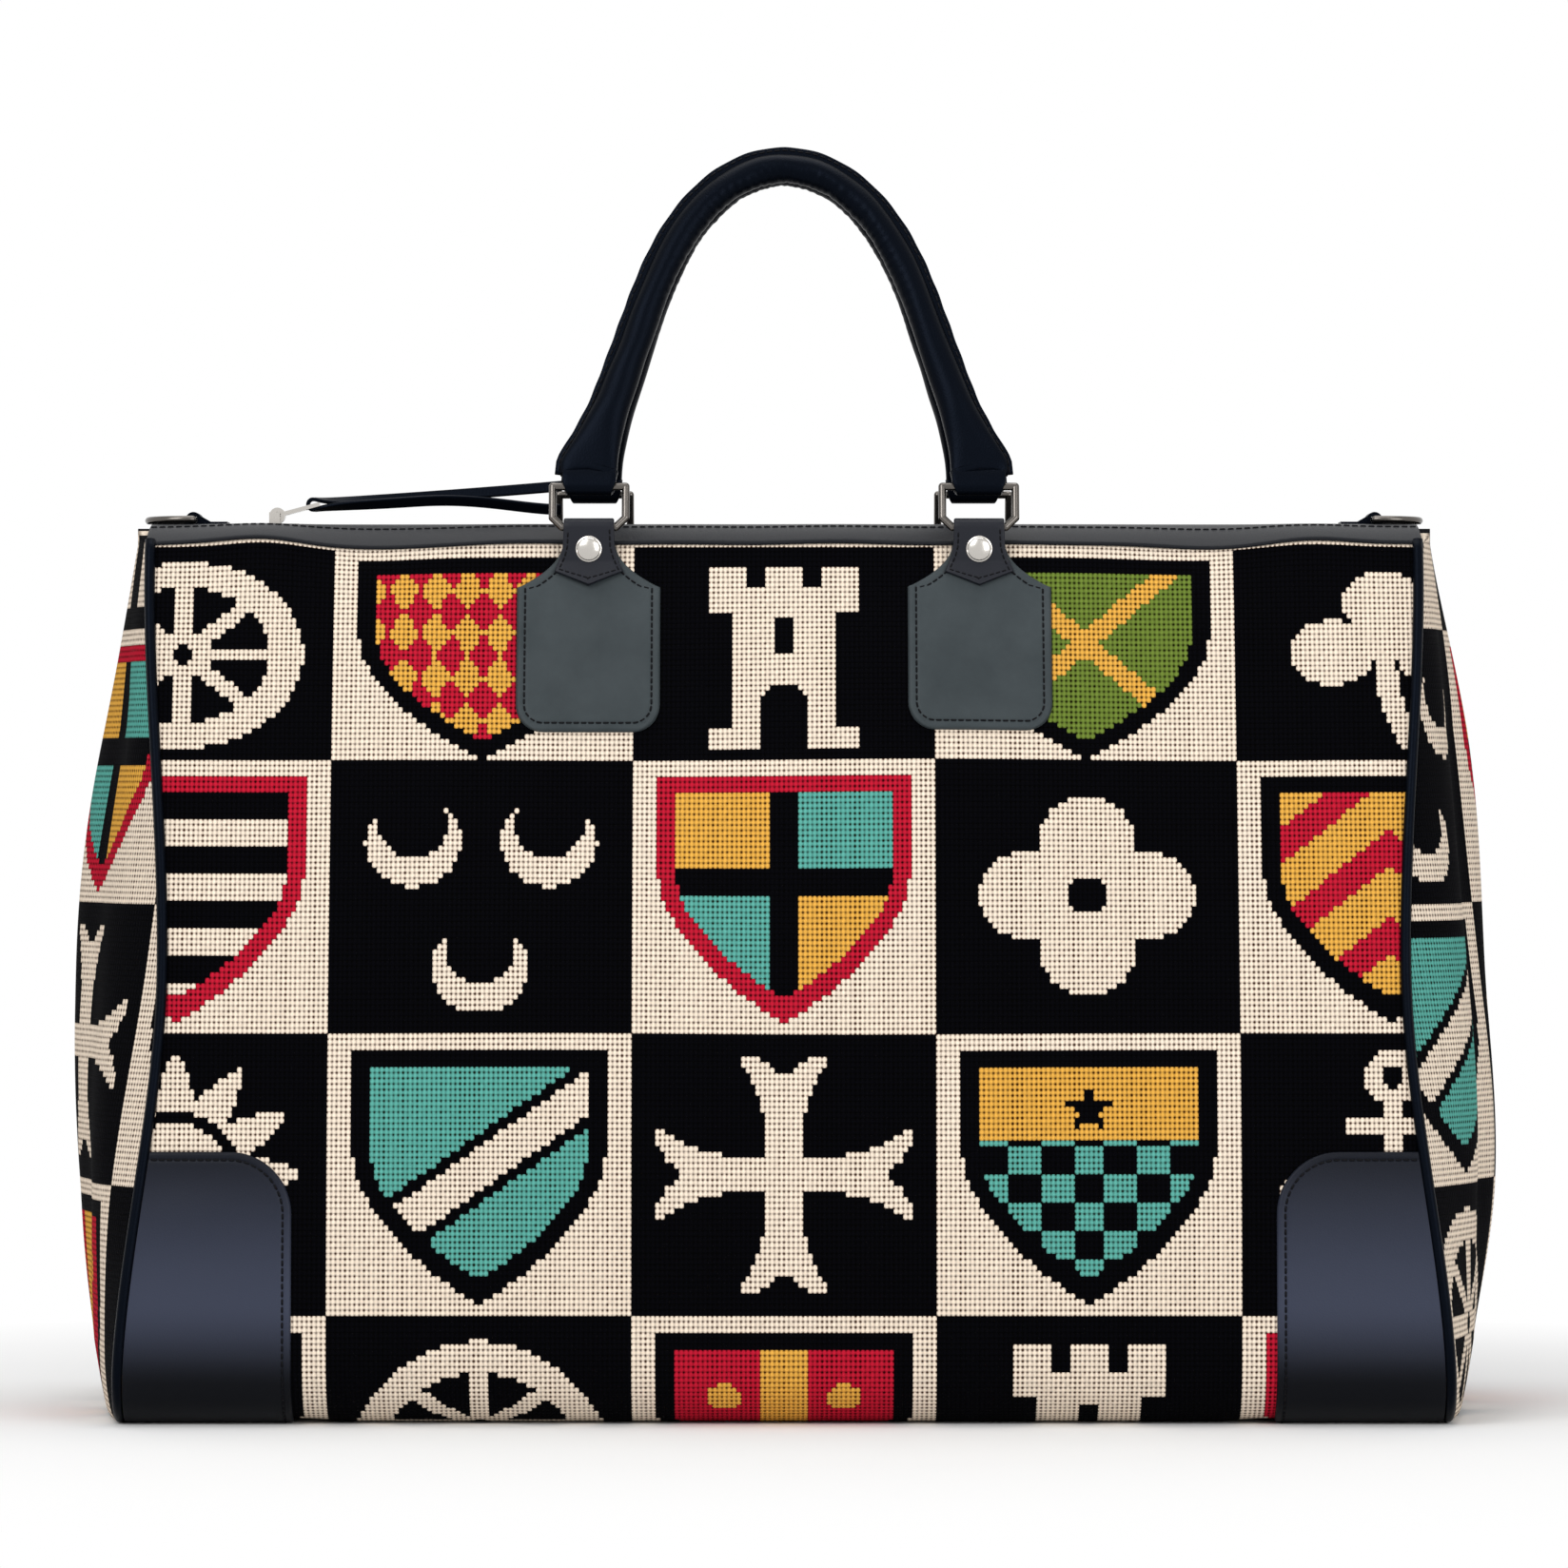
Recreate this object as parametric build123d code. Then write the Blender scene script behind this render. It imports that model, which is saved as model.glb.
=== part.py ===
from build123d import *
import math
import os

os.makedirs("parts", exist_ok=True)

# Body of the bag, in millimetres. The front faces -Y and the base rests near Z = 0.
bag_length = 534.0  # seam to seam along the base
bag_depth = 236.0  # front to back, above the base corner
panel_height = 354.0  # base to the panels' top edge
top_depth = 96.0  # front to back at the panels' top edge
base_radius = 26.0  # soft corner between panel and base
belly_crown = 8.0  # how far the panels puff out at mid-length
waist_draw = 17.0  # how far each seam is drawn in at its waist
gusset_bulge = 42.0  # how far each end bulges past its seam
ridge_rise = 8.5  # zip line above the panels' top edge
waist_height_share = 0.51
top_draw_share = 0.5
bulge_height_share = 0.46
bulge_low_share = 0.27
bulge_top_share = 0.2
bulge_round_share = 1.15

# Cloth, leather and clearances.
canvas = 2.4
leather = 1.8
patch_leather = 1.5
lining_cloth = 0.8
board = 2.0
fit_gap = 0.3
turn_gap = 0.25  # around a bar that turns
overrun = 20.0  # how far cutters reach past what they cut

# Piping and corner patches.
piping_radius = 2.0
piping_proud = 0.8
patch_width = 70.0
patch_height = 108.0
patch_round = 25.0
patch_under = 58.0
flat_press = 0.1  # leather pressed flat where the bag stands

# Handles, their rings, tabs and rivets.
tab_spacing = 159.0  # between the two tabs of one panel
handle_rise = 138.7  # ring's top bar to the handle's centre line
handle_radius = 6.0
handle_apart = 5.0  # between the two handles at the top, at rest
flange_width = 3.2
flange_thickness = 2.4
handle_end_width = 22.0
handle_end_flare = 24.0
wing_reach = 13.0
ring_wire = 1.6
ring_width = 33.0
ring_height = 20.6
ring_chamfer = 4.0
tab_width = 60.0
tab_height = 72.5
tab_corner = 11.0
tab_shoulder_rise = 10.5
neck_width = 21.0
tongue_drop = 22.3
tongue_point = 9.0
bar_above_panel = 6.0
rivet_radius = 5.5
rivet_dome = 2.6
rivet_shank = 1.5
rivet_drop = 9.0  # below the ring's lower bar

# Zip.
binding_edge = 9.0  # zip centre to a leather strip
tape_reach = 16.0
tape_thickness = 0.9
tooth_pitch = 4.6
tooth_depth = 4.6
tooth_height = 2.4
spine_width = 1.9
tooth_gap = 0.25
zip_start_inset = 53.0  # base corner to the teeth's left end
zip_end_inset = 48.5
slider_length = 18.0
slider_width = 13.0
slider_plate = 1.5
bail_radius = 1.2
pull_length = 18.0
pull_width = 7.0
pull_thickness = 1.6
pull_eye = 3.2
slot_length = 4.4
pull_lift = 15.0  # degrees above flat at rest
thong_width = 5.0
thong_thickness = 1.4
thong_length = 104.0
thong_rise = 6.0

# D-rings at the ends of the zip.
d_wire = 1.5
d_width = 31.0
d_reach = 20.5
d_bar_inset = 23.0  # base corner to the ring's bar
loop_width = 16.0
loop_length = 14.0
loop_base = 0.5
d_droop = 0.6  # degrees

# Sizes that follow.
base_level = fit_gap + patch_leather - flat_press
round_level = base_level + base_radius
top_level = base_level + panel_height
panel_run = top_level - round_level
seam_gap = piping_radius + fit_gap
ridge_level = top_level + ridge_rise
loft_reach = bag_length / 2 + overrun / 2
half = 1 / 2
diagonal = math.sqrt(half)
crown_peak = 16.0  # scales the puff so its peak is belly_crown
bar_y = -(top_depth / 2 + 2 * fit_gap + leather + ring_wire + turn_gap)
bar_z = top_level + bar_above_panel
top_bar_z = bar_z + ring_height - 2 * ring_wire
wall_steps = 8
zip_start = bag_length / 2 - zip_start_inset
zip_end = bag_length / 2 - zip_end_inset
d_x = bag_length / 2 - d_bar_inset


def panel_half(share, end_share):
    lean = (bag_depth - top_depth) / 2 * share ** 2
    flat = belly_crown * crown_peak * (share * (1 - share)) ** 2
    return bag_depth / 2 - lean - end_share * flat


def panel_slope(share, end_share):
    lean = (bag_depth - top_depth) * share
    flat = 2 * belly_crown * crown_peak * share * (1 - share) * (1 - 2 * share)
    return -(lean + end_share * flat) / panel_run


def section(x, end_share, offset, top_share, lift):
    radius = base_radius + offset
    centre = round_level + lift
    start = lift / panel_run
    flat = panel_half(start, end_share) - base_radius
    floor = centre - radius
    points = []
    for i in range(wall_steps + 1):
        share = start + (top_share - start) * i / wall_steps
        slope = panel_slope(share, end_share)
        size = math.hypot(1, slope)
        points.append((panel_half(share, end_share) + offset / size,
                       round_level + share * panel_run - offset * slope / size))
    points[0] = (flat + radius, centre)
    edges = [Line((x, -flat, floor), (x, flat, floor))]
    for side in (1, -1):
        edges.append(ThreePointArc((x, side * flat, floor),
                                   (x, side * (flat + radius * diagonal), centre - radius * diagonal),
                                   (x, side * (flat + radius), centre)))
        edges.append(Spline(*[(x, side * y, z) for y, z in points],
                            tangents=((0, 0, 1), (0, side * panel_slope(top_share, end_share), 1))))
    edges.append(Line((x, points[-1][0], points[-1][1]), (x, -points[-1][0], points[-1][1])))
    return Wire(edges)


def skin(offset, top_share=1.0, lift=0.0):
    return Solid.make_loft([section(-loft_reach, 1, offset, top_share, lift),
                            section(0, 0, offset, top_share, lift),
                            section(loft_reach, 1, offset, top_share, lift)])


def ease(t):
    t = min(max(t, 0), 1)
    return t * t * (3 - 2 * t)


def seam_half(z):
    share = (z - base_level) / panel_height
    if share < waist_height_share:
        draw = ease(share / waist_height_share)
    else:
        draw = 1 - (1 - top_draw_share) * ease((share - waist_height_share) / (1 - waist_height_share))
    return bag_length / 2 - waist_draw * draw


def seam_depth(z):
    if z < round_level:
        drop = round_level - max(z, base_level)
        return panel_half(0, 0) - base_radius + math.sqrt(max(base_radius ** 2 - drop ** 2, 0))
    end_share = (seam_half(z) / loft_reach) ** 2
    return panel_half((z - round_level) / panel_run, end_share)


def bulge(z):
    share = min(max((z - base_level) / panel_height, 0), 1)
    if share < bulge_height_share:
        grow = math.sin(math.pi / 2 * share / bulge_height_share) ** bulge_round_share
        return gusset_bulge * (bulge_low_share + (1 - bulge_low_share) * grow)
    fall = max(math.cos(math.pi / 2 * (share - bulge_height_share) / (1 - bulge_height_share)), 0)
    return gusset_bulge * (bulge_top_share + (1 - bulge_top_share) * fall ** bulge_round_share)


seam_steps = 14
seam_levels = [base_level + panel_height * i / seam_steps for i in range(seam_steps + 1)]


def seam_block(shift):
    low = base_level - overrun
    high = ridge_level + overrun
    front = -bag_depth
    right = [(seam_half(z) + shift, front, z) for z in seam_levels]
    left = [(-x, y, z) for x, y, z in right]
    edges = [Spline(*right), Spline(*left)]
    for side in (right, left):
        edges.append(Line(side[0], (side[0][0], front, low)))
        edges.append(Line(side[-1], (side[-1][0], front, high)))
    edges.append(Line((left[0][0], front, low), (right[0][0], front, low)))
    edges.append(Line((left[-1][0], front, high), (right[-1][0], front, high)))
    return extrude(Face(Wire(edges)), amount=2 * bag_depth, dir=(0, 1, 0))


def block(x0, x1, y0, y1, z0, z1):
    size = Box(abs(x1 - x0), abs(y1 - y0), abs(z1 - z0))
    return Pos((x0 + x1) / 2, (y0 + y1) / 2, (z0 + z1) / 2) * size


def pin(start, end, radius):
    line = Vector(*end) - Vector(*start)
    return extrude(Plane(start, z_dir=line) * Circle(radius), amount=line.length)


def strip(points, axis, low, high):
    """A flat shape drawn in two coordinates, made solid along the third axis."""
    if axis == "x":
        corners = [(low, a, b) for a, b in points]
        way = (1, 0, 0)
    elif axis == "y":
        corners = [(a, low, b) for a, b in points]
        way = (0, 1, 0)
    else:
        corners = [(a, b, low) for a, b in points]
        way = (0, 0, 1)
    return extrude(Face(Wire(Polyline(*corners, close=True))), amount=high - low, dir=way)


def across(shape):
    return mirror(shape, about=Plane.YZ)


def behind(shape):
    return mirror(shape, about=Plane.XZ)


def save(shape, name):
    solids = shape.solids()
    shape = solids[0] if len(solids) == 1 else Compound(children=solids)
    shape.label = name
    export_step(shape, "parts/" + name + ".step")


# Rivets through tab and panel, at the two places on the front.
rivet_z = bar_z - rivet_drop
rivet_face = bar_y - ring_wire - turn_gap - leather
tab_places = (-tab_spacing / 2, tab_spacing / 2)


def rivet_hole(x):
    return pin((x, -bag_depth / 2, rivet_z), (x, 0, rivet_z), rivet_shank + turn_gap)


# Front, base and back in one length of needlepoint.
wrap = (skin(0) - skin(-canvas, 1 + overrun / panel_run)) & seam_block(-seam_gap)
wrap = wrap & block(-bag_length, bag_length, -bag_depth, bag_depth, 0, top_level)
for x in tab_places:
    wrap = wrap - rivet_hole(x) - behind(rivet_hole(x))
save(wrap, "body_wrap")

# Bulging ends: lens-shaped levels, hollowed by smaller ones, with a tent-shaped top under the zip.
round_steps = 4
gusset_steps = 8


def lens(z, y, inset, back):
    x = seam_half(z) + seam_gap
    tip = seam_half(z) + bulge(z) - inset
    edges = [ThreePointArc((x, -y, z), (tip, 0, z), (x, y, z))]
    if back:
        edges.append(Line((x, y, z), (x - back, y, z)))
        edges.append(Line((x - back, y, z), (x - back, -y, z)))
        edges.append(Line((x - back, -y, z), (x, -y, z)))
    else:
        edges.append(Line((x, y, z), (x, -y, z)))
    return Wire(edges)


def gusset_dome(inset, top, back):
    flat = panel_half(0, 0) - base_radius
    radius = base_radius - inset
    low = []
    for i in range(round_steps + 1):
        turn = math.pi / 2 * i / round_steps
        low.append(lens(round_level - radius * math.cos(turn), flat + radius * math.sin(turn), inset, back))
    high = []
    for i in range(gusset_steps + 1):
        z = round_level + (top - round_level) * i / gusset_steps
        high.append(lens(z, seam_depth(z) - inset, inset, back))
    return Solid.make_loft(low) + Solid.make_loft(high)


gusset = gusset_dome(0, top_level, 0)
hollow = gusset_dome(canvas, top_level - canvas, overrun)
tent_low = top_depth / 2 - leather
tent = strip([(-tent_low, top_level - canvas / 2), (tent_low, top_level - canvas / 2),
              (binding_edge + leather, ridge_level - leather),
              (-binding_edge - leather, ridge_level - leather)],
             "x", 0, bag_length)
cap_face = Face(lens(top_level - canvas / 2, top_depth / 2 - canvas, canvas, 0))
cap = extrude(cap_face, amount=overrun, dir=(0, 0, 1)) & tent
gusset = gusset - hollow + cap
save(gusset, "gusset_right")
save(across(gusset), "gusset_left")

# Piping in the end seams.
arc_steps = 6
pipe_points = []
for z in reversed(seam_levels[2:]):
    pipe_points.append((seam_half(z), -(seam_depth(z) + piping_proud), z))
sunk = piping_radius + 2 * fit_gap - base_level
for i in range(arc_steps + 1):
    turn = math.pi / 2 * i / arc_steps
    reach = base_radius + piping_proud - (piping_proud + sunk) * i / arc_steps
    z = round_level - reach * math.sin(turn)
    flat = panel_half(0, 0) - base_radius
    pipe_points.append((seam_half(z), -(flat + reach * math.cos(turn)), z))
arc_end = len(pipe_points) - 1
base_shares = (0.03, 0.08, 0.16, 0.3)
for share in base_shares:
    x, y, z = pipe_points[arc_end]
    pipe_points.append((x, y * (1 - 2 * share), z))
x, y, z = pipe_points[arc_end]
pipe_points += [(x, 0, z)] + [(x, -y, z) for x, y, z in reversed(pipe_points)]
pipe_path = Spline(*pipe_points)
pipe_steps = 36
pipe_rings = []
for i in range(pipe_steps + 1):
    spot = Plane(pipe_path @ (i / pipe_steps), x_dir=(1, 0, 0), z_dir=pipe_path % (i / pipe_steps))
    pipe_rings.append((spot * Circle(piping_radius)).wire())
piping = Solid.make_loft(pipe_rings)
save(piping, "piping_right")
save(across(piping), "piping_left")

# Leather corner patches, wrapped round the base corner.
over = skin(fit_gap + patch_leather, 1) - skin(fit_gap, 1 + overrun / panel_run)
over = over & seam_block(-seam_gap - fit_gap)
patch_inner = bag_length / 2 - patch_width
patch_top = base_level + patch_height
with BuildSketch(Plane.XZ) as outline:
    with BuildLine():
        Line((bag_length, -overrun), (patch_inner, -overrun))
        Line((patch_inner, -overrun), (patch_inner, patch_top - patch_round))
        RadiusArc((patch_inner, patch_top - patch_round), (patch_inner + patch_round, patch_top), patch_round)
        Line((patch_inner + patch_round, patch_top), (bag_length, patch_top))
        Line((bag_length, patch_top), (bag_length, -overrun))
    make_face()
patch = extrude(outline.sketch, amount=bag_depth) & over
patch = patch & block(0, bag_length, -bag_depth, -(bag_depth / 2 - patch_under), 0, patch_top)
for name, shape in (("front_right", patch), ("front_left", across(patch)),
                    ("back_right", behind(patch)), ("back_left", across(behind(patch)))):
    save(shape, "corner_patch_" + name)

# Stiffening board on the base, and the lining over it.
board_low = base_level + canvas + fit_gap
board_inset = seam_gap + canvas
base_plate = seam_block(-board_inset - fit_gap) & block(
    -bag_length, bag_length, -(bag_depth / 2 - base_radius), bag_depth / 2 - base_radius,
    board_low, board_low + board)
save(base_plate, "base_board")
lining_lift = board + fit_gap
lining_top = top_level - rivet_drop - overrun
lining_skin = skin(-canvas - fit_gap, 1, lining_lift) & seam_block(-seam_gap)
lining_hollow = skin(-canvas - fit_gap - lining_cloth, 1 + overrun / panel_run, lining_lift)
lining_hollow = lining_hollow & seam_block(-seam_gap - lining_cloth)
lining = (lining_skin - lining_hollow) & block(-bag_length, bag_length, -bag_depth, bag_depth, 0, lining_top)
save(lining, "lining")

# Leather strips from the panels' top edge up to the zip.
strip_end = seam_half(top_level) + seam_gap - fit_gap - turn_gap
outer = top_depth / 2 - fit_gap
tape_level = ridge_level - leather - fit_gap - tape_thickness
strip_low = top_level + fit_gap
binding = strip([(-outer, strip_low), (-outer, strip_low + leather), (-binding_edge, ridge_level),
                 (-binding_edge, ridge_level - leather)], "x", -strip_end, strip_end)
save(binding, "zip_binding_front")
save(behind(binding), "zip_binding_back")

# Tapes and interlocking teeth.
tape_edge = tooth_depth / 2 + spine_width
strip_slope = (ridge_level - strip_low - leather) / (outer - binding_edge)
tape_drop = strip_slope * (tape_reach - binding_edge)
tape_in = tape_edge + turn_gap / 2
tape = strip([(-tape_in, tape_level), (-tape_in, tape_level + tape_thickness),
              (-binding_edge, tape_level + tape_thickness),
              (-tape_reach, tape_level + tape_thickness - tape_drop),
              (-tape_reach, tape_level - tape_drop), (-binding_edge, tape_level)], "x", -strip_end, strip_end)
save(tape, "zip_tape_front")
save(behind(tape), "zip_tape_back")
tooth_low = tape_level + tape_thickness / 2 - tooth_height / 2
tooth_count = int((zip_start + zip_end) / tooth_pitch)
comb = [(-zip_start, -tape_edge)]
for i in range(tooth_count):
    x = -zip_start + i * tooth_pitch
    wide = tooth_pitch / 2 - tooth_gap
    comb += [(x, -tooth_depth / 2), (x, tooth_depth / 2 - tooth_gap),
             (x + wide, tooth_depth / 2 - tooth_gap), (x + wide, -tooth_depth / 2)]
comb = comb + [(-zip_start + tooth_count * tooth_pitch, -tooth_depth / 2),
               (-zip_start + tooth_count * tooth_pitch, -tape_edge)]
comb.pop(1)
teeth = strip(comb, "z", tooth_low, tooth_low + tooth_height)
save(teeth, "zip_teeth_front")
save(Pos(tooth_pitch / 2, 0, 0) * behind(teeth), "zip_teeth_back")
stop_x = zip_end + tooth_pitch
stop = block(stop_x, stop_x + tooth_pitch, -tape_edge, tape_edge, tooth_low, tooth_low + tooth_height)
save(stop, "zip_stop")

# Slider, closed at the left end, with the bar that the pull turns on.
slider_x0 = -zip_start - tooth_pitch
slider_x1 = slider_x0 + slider_length
plate_low = tooth_low - fit_gap - slider_plate
plate_high = tooth_low + tooth_height + fit_gap
slider_top = plate_high + slider_plate
slider = block(slider_x0, slider_x1, -slider_width / 2, slider_width / 2, plate_high, slider_top)
slider += block(slider_x0, slider_x1, -tape_edge, tape_edge, plate_low, plate_low + slider_plate)
slider += block(slider_x0, -zip_start - fit_gap, -tooth_depth / 2, tooth_depth / 2, plate_low, plate_high)
bail_x = slider_x0 + slider_length / 2
bail_z = plate_high + slider_plate + pull_eye + fit_gap
lug_in = pull_width / 2 + fit_gap
lug_out = slider_width / 2
for side in (1, -1):
    slider += block(bail_x - pull_eye, bail_x + bail_radius, side * lug_in, side * lug_out,
                    plate_high, bail_z + bail_radius)
slider += pin((bail_x, -lug_out, bail_z), (bail_x, lug_out, bail_z), bail_radius)
save(slider, "zip_slider")

# Metal pull with an eye on the slider's bar and a slot for the thong.
pull_x1 = bail_x + pull_length
pull = pin((bail_x, -pull_width / 2, bail_z), (bail_x, pull_width / 2, bail_z), pull_eye)
pull += block(bail_x, pull_x1, -pull_width / 2, pull_width / 2,
              bail_z - pull_thickness / 2, bail_z + pull_thickness / 2)
pull -= pin((bail_x, -pull_width, bail_z), (bail_x, pull_width, bail_z), bail_radius + turn_gap)
slot_x1 = pull_x1 - pull_thickness
slot_half = thong_width / 2 + turn_gap
pull -= block(slot_x1 - slot_length, slot_x1, -slot_half, slot_half, bail_z - pull_eye, bail_z + pull_eye)
pull = pull.rotate(Axis((bail_x, 0, bail_z), (0, 1, 0)), -pull_lift)
save(pull, "zip_pull")

# Leather thong folded through the pull: both strands rise, the under one a little less.
tilt = math.radians(pull_lift)
fold_x = bail_x + (slot_x1 - bail_x) * math.cos(tilt) - thong_thickness - turn_gap
thong_z = bail_z + (slot_x1 + pull_thickness / 2 - bail_x) * math.sin(tilt)
thong_shares = (0, 0.06, 0.2, 0.45, 0.7, 1.0)
rise_shares = (0, 0.1, 0.28, 0.55, 0.8, 1.0)
under_shares = (0, 0.03, 0.12, 0.35, 0.58, 0.8)
lift = pull_thickness / 2 + 3 * turn_gap
high_low = [(fold_x + thong_length * a, thong_z + lift + thong_rise * b)
            for a, b in zip(thong_shares, rise_shares)]
low_high = [(fold_x + thong_length * a, thong_z - lift + thong_rise * b)
            for a, b in zip(thong_shares, under_shares)]
high_high = [(x, z + thong_thickness) for x, z in high_low]
low_low = [(x, z - thong_thickness) for x, z in low_high]


def thong_curve(points):
    return Spline(*[(x, -thong_width / 2, z) for x, z in points])


def thong_line(a, b):
    return Line((a[0], -thong_width / 2, a[1]), (b[0], -thong_width / 2, b[1]))


fold_in = ThreePointArc(thong_curve(high_low) @ 0, (fold_x - turn_gap, -thong_width / 2, thong_z),
                        thong_curve(low_high) @ 0)
fold_out = ThreePointArc(thong_curve(high_high) @ 0,
                         (fold_x - turn_gap - thong_thickness, -thong_width / 2, thong_z),
                         thong_curve(low_low) @ 0)
thong = extrude(Face(Wire([thong_curve(high_high), thong_line(high_high[-1], high_low[-1]),
                           thong_curve(high_low), fold_in, thong_curve(low_high),
                           thong_line(low_high[-1], low_low[-1]),
                           thong_curve(low_low), fold_out])), amount=thong_width, dir=(0, 1, 0))
save(thong, "zip_thong")

# Rectangular rings, leaning in on the front tabs until the two handles all but touch.
handle_reach = top_bar_z + handle_rise - bar_z
lean_angle = math.degrees(math.asin((-bar_y - handle_radius - handle_apart / 2) / handle_reach))
ring_axis = Axis((0, bar_y, bar_z), (1, 0, 0))
side_x = ring_width / 2 - ring_wire
ring_corners = [(-side_x, top_bar_z), (side_x, top_bar_z), (side_x, bar_z + ring_chamfer),
                (side_x - ring_chamfer, bar_z), (-side_x + ring_chamfer, bar_z),
                (-side_x, bar_z + ring_chamfer)]
ring = None
for a, b in zip(ring_corners, ring_corners[1:] + ring_corners[:1]):
    bar = pin((a[0], bar_y, a[1]), (b[0], bar_y, b[1]), ring_wire)
    bar += Pos(a[0], bar_y, a[1]) * Sphere(ring_wire)
    ring = bar if ring is None else ring + bar
ring = ring.rotate(ring_axis, -lean_angle)
for side, x in zip(("left", "right"), tab_places):
    save(Pos(x, 0, 0) * ring, "handle_ring_front_" + side)
    save(behind(Pos(x, 0, 0) * ring), "handle_ring_back_" + side)

# Handle tabs: a patch that follows the panel, a neck, a fold over the bar and a pointed tongue.
bore = ring_wire + turn_gap
fold = bore + leather
tab_top = top_level + fit_gap
tab_low = tab_top - tab_height - tab_shoulder_rise / 2
shoulder = tab_low + tab_height - tab_shoulder_rise / 2
neck = neck_width / 2
tab_half = tab_width / 2
with BuildSketch(Plane.XZ) as tab_outline:
    with BuildLine():
        Polyline((-tab_half + tab_corner, tab_low), (tab_half - tab_corner, tab_low))
        RadiusArc((tab_half - tab_corner, tab_low), (tab_half, tab_low + tab_corner), -tab_corner)
        Line((tab_half, tab_low + tab_corner), (tab_half, shoulder - tab_shoulder_rise))
        Spline((tab_half, shoulder - tab_shoulder_rise), (neck, shoulder), tangents=((-1, half), (0, 1)))
        Polyline((neck, shoulder), (neck, tab_top), (-neck, tab_top), (-neck, shoulder))
        Spline((-neck, shoulder), (-tab_half, shoulder - tab_shoulder_rise), tangents=((0, -1), (-1, -half)))
        Line((-tab_half, shoulder - tab_shoulder_rise), (-tab_half, tab_low + tab_corner))
        RadiusArc((-tab_half, tab_low + tab_corner), (-tab_half + tab_corner, tab_low), -tab_corner)
    make_face()
reach_share = 1 + overrun / panel_run
tab_layer = skin(fit_gap + leather, reach_share) - skin(fit_gap, reach_share + overrun / panel_run)
front_y = bar_y - bore
bend_z = rivet_z - rivet_radius - turn_gap
tip_z = bar_z - tongue_drop
tip_share = (tip_z - round_level) / panel_run
tip_y = -(panel_half(tip_share, 0) + (2 * fit_gap + leather) * math.hypot(1, panel_slope(tip_share, 0)))
tongue = strip([(front_y, bar_z), (front_y - leather, bar_z), (front_y - leather, bend_z),
                (tip_y - leather, tip_z), (tip_y, tip_z), (front_y, bend_z)], "x", -neck, neck)
point = strip([(-neck, bar_z), (neck, bar_z), (neck, tip_z + tongue_point), (0, tip_z),
               (-neck, tip_z + tongue_point)], "y", -bag_depth, 0)
riser = block(-neck, neck, bar_y + bore, bar_y + fold, top_level - fit_gap, bar_z)
turned = pin((-neck, bar_y, bar_z), (neck, bar_y, bar_z), fold) & block(
    -bag_length, bag_length, -bag_depth, 0, bar_z, ridge_level + overrun)
bore_pin = pin((-bag_length, bar_y, bar_z), (bag_length, bar_y, bar_z), bore)
for side, x in zip(("left", "right"), tab_places):
    tab = (extrude(Pos(x, 0, 0) * tab_outline.sketch, amount=bag_depth) & tab_layer)
    tab = tab + Pos(x, 0, 0) * (riser + (tongue & point) + turned)
    tab = tab - bore_pin - rivet_hole(x)
    save(tab, "handle_tab_front_" + side)
    save(behind(tab), "handle_tab_back_" + side)

# Domed rivets.
cap_ball = (rivet_radius ** 2 + rivet_dome ** 2) / (2 * rivet_dome)
dome = Sphere(cap_ball) & Pos(0, 0, cap_ball) * Box(4 * rivet_radius, 4 * rivet_radius, 2 * rivet_dome)
dome = Pos(0, 0, rivet_dome - cap_ball) * dome
rivet_back = -(panel_half((rivet_z - round_level) / panel_run, 0) - canvas)
for side, x in zip(("left", "right"), tab_places):
    head = Pos(x, rivet_face - turn_gap / 2, rivet_z) * Rot(90, 0, 0) * dome
    rivet = head + pin((x, rivet_face - turn_gap, rivet_z), (x, rivet_back, rivet_z), rivet_shank)
    save(rivet, "tab_rivet_front_" + side)
    save(behind(rivet), "tab_rivet_back_" + side)

# Rolled handles with a stitched flange on the outer edge and flattened ends round the rings' top bars.
arch_shares = ((1, 0.06), (0.945, 0.16), (0.866, 0.28), (0.778, 0.427), (0.705, 0.565), (0.6, 0.7),
               (0.455, 0.839), (0.303, 0.935), (0.151, 0.984))
end_x = tab_spacing / 2
arch = [(end_x * a, top_bar_z + handle_rise * b) for a, b in arch_shares]
arch_points = [(x, bar_y, z) for x, z in arch] + [(0, bar_y, top_bar_z + handle_rise)]
arch_points += [(-x, bar_y, z) for x, z in reversed(arch)]
arch_path = Spline(*arch_points)
mid_wide = (handle_radius + handle_end_flare / 2) / 2
mid_thick = (handle_radius + fold) / 2
round_thick = handle_radius - turn_gap / 10
leg_shares = ((0, fold, handle_end_flare / 2), (0.06, mid_thick, mid_wide), (0.15, round_thick, handle_radius),
              (0.5, round_thick, handle_radius), (0.85, round_thick, handle_radius),
              (0.94, mid_thick, mid_wide),
              (1, fold, handle_end_flare / 2))
handle_sections = [Plane(arch_path @ t, x_dir=(0, 1, 0), z_dir=arch_path % t) * Ellipse(thick, wide)
                   for t, thick, wide in leg_shares]
handle = sweep(handle_sections, path=arch_path, multisection=True)
leg_end_z = (arch_path @ 0).Z
loop = pin((end_x - handle_end_width / 2, bar_y, top_bar_z),
           (end_x + handle_end_width / 2, bar_y, top_bar_z), fold)
loop += block(end_x - handle_end_width / 2, end_x + handle_end_width / 2, bar_y - fold, bar_y + fold,
              top_bar_z, leg_end_z + leather)
outer_rim = []
rim_steps = 10
rim_start_share = 0.05
for i in range(rim_steps + 1):
    share = rim_start_share + (half - rim_start_share) * i / rim_steps
    spot = arch_path @ share
    way = arch_path % share
    reach = handle_radius + flange_width
    outer_rim.append((spot.X + way.Z * reach, spot.Z - way.X * reach))
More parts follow.
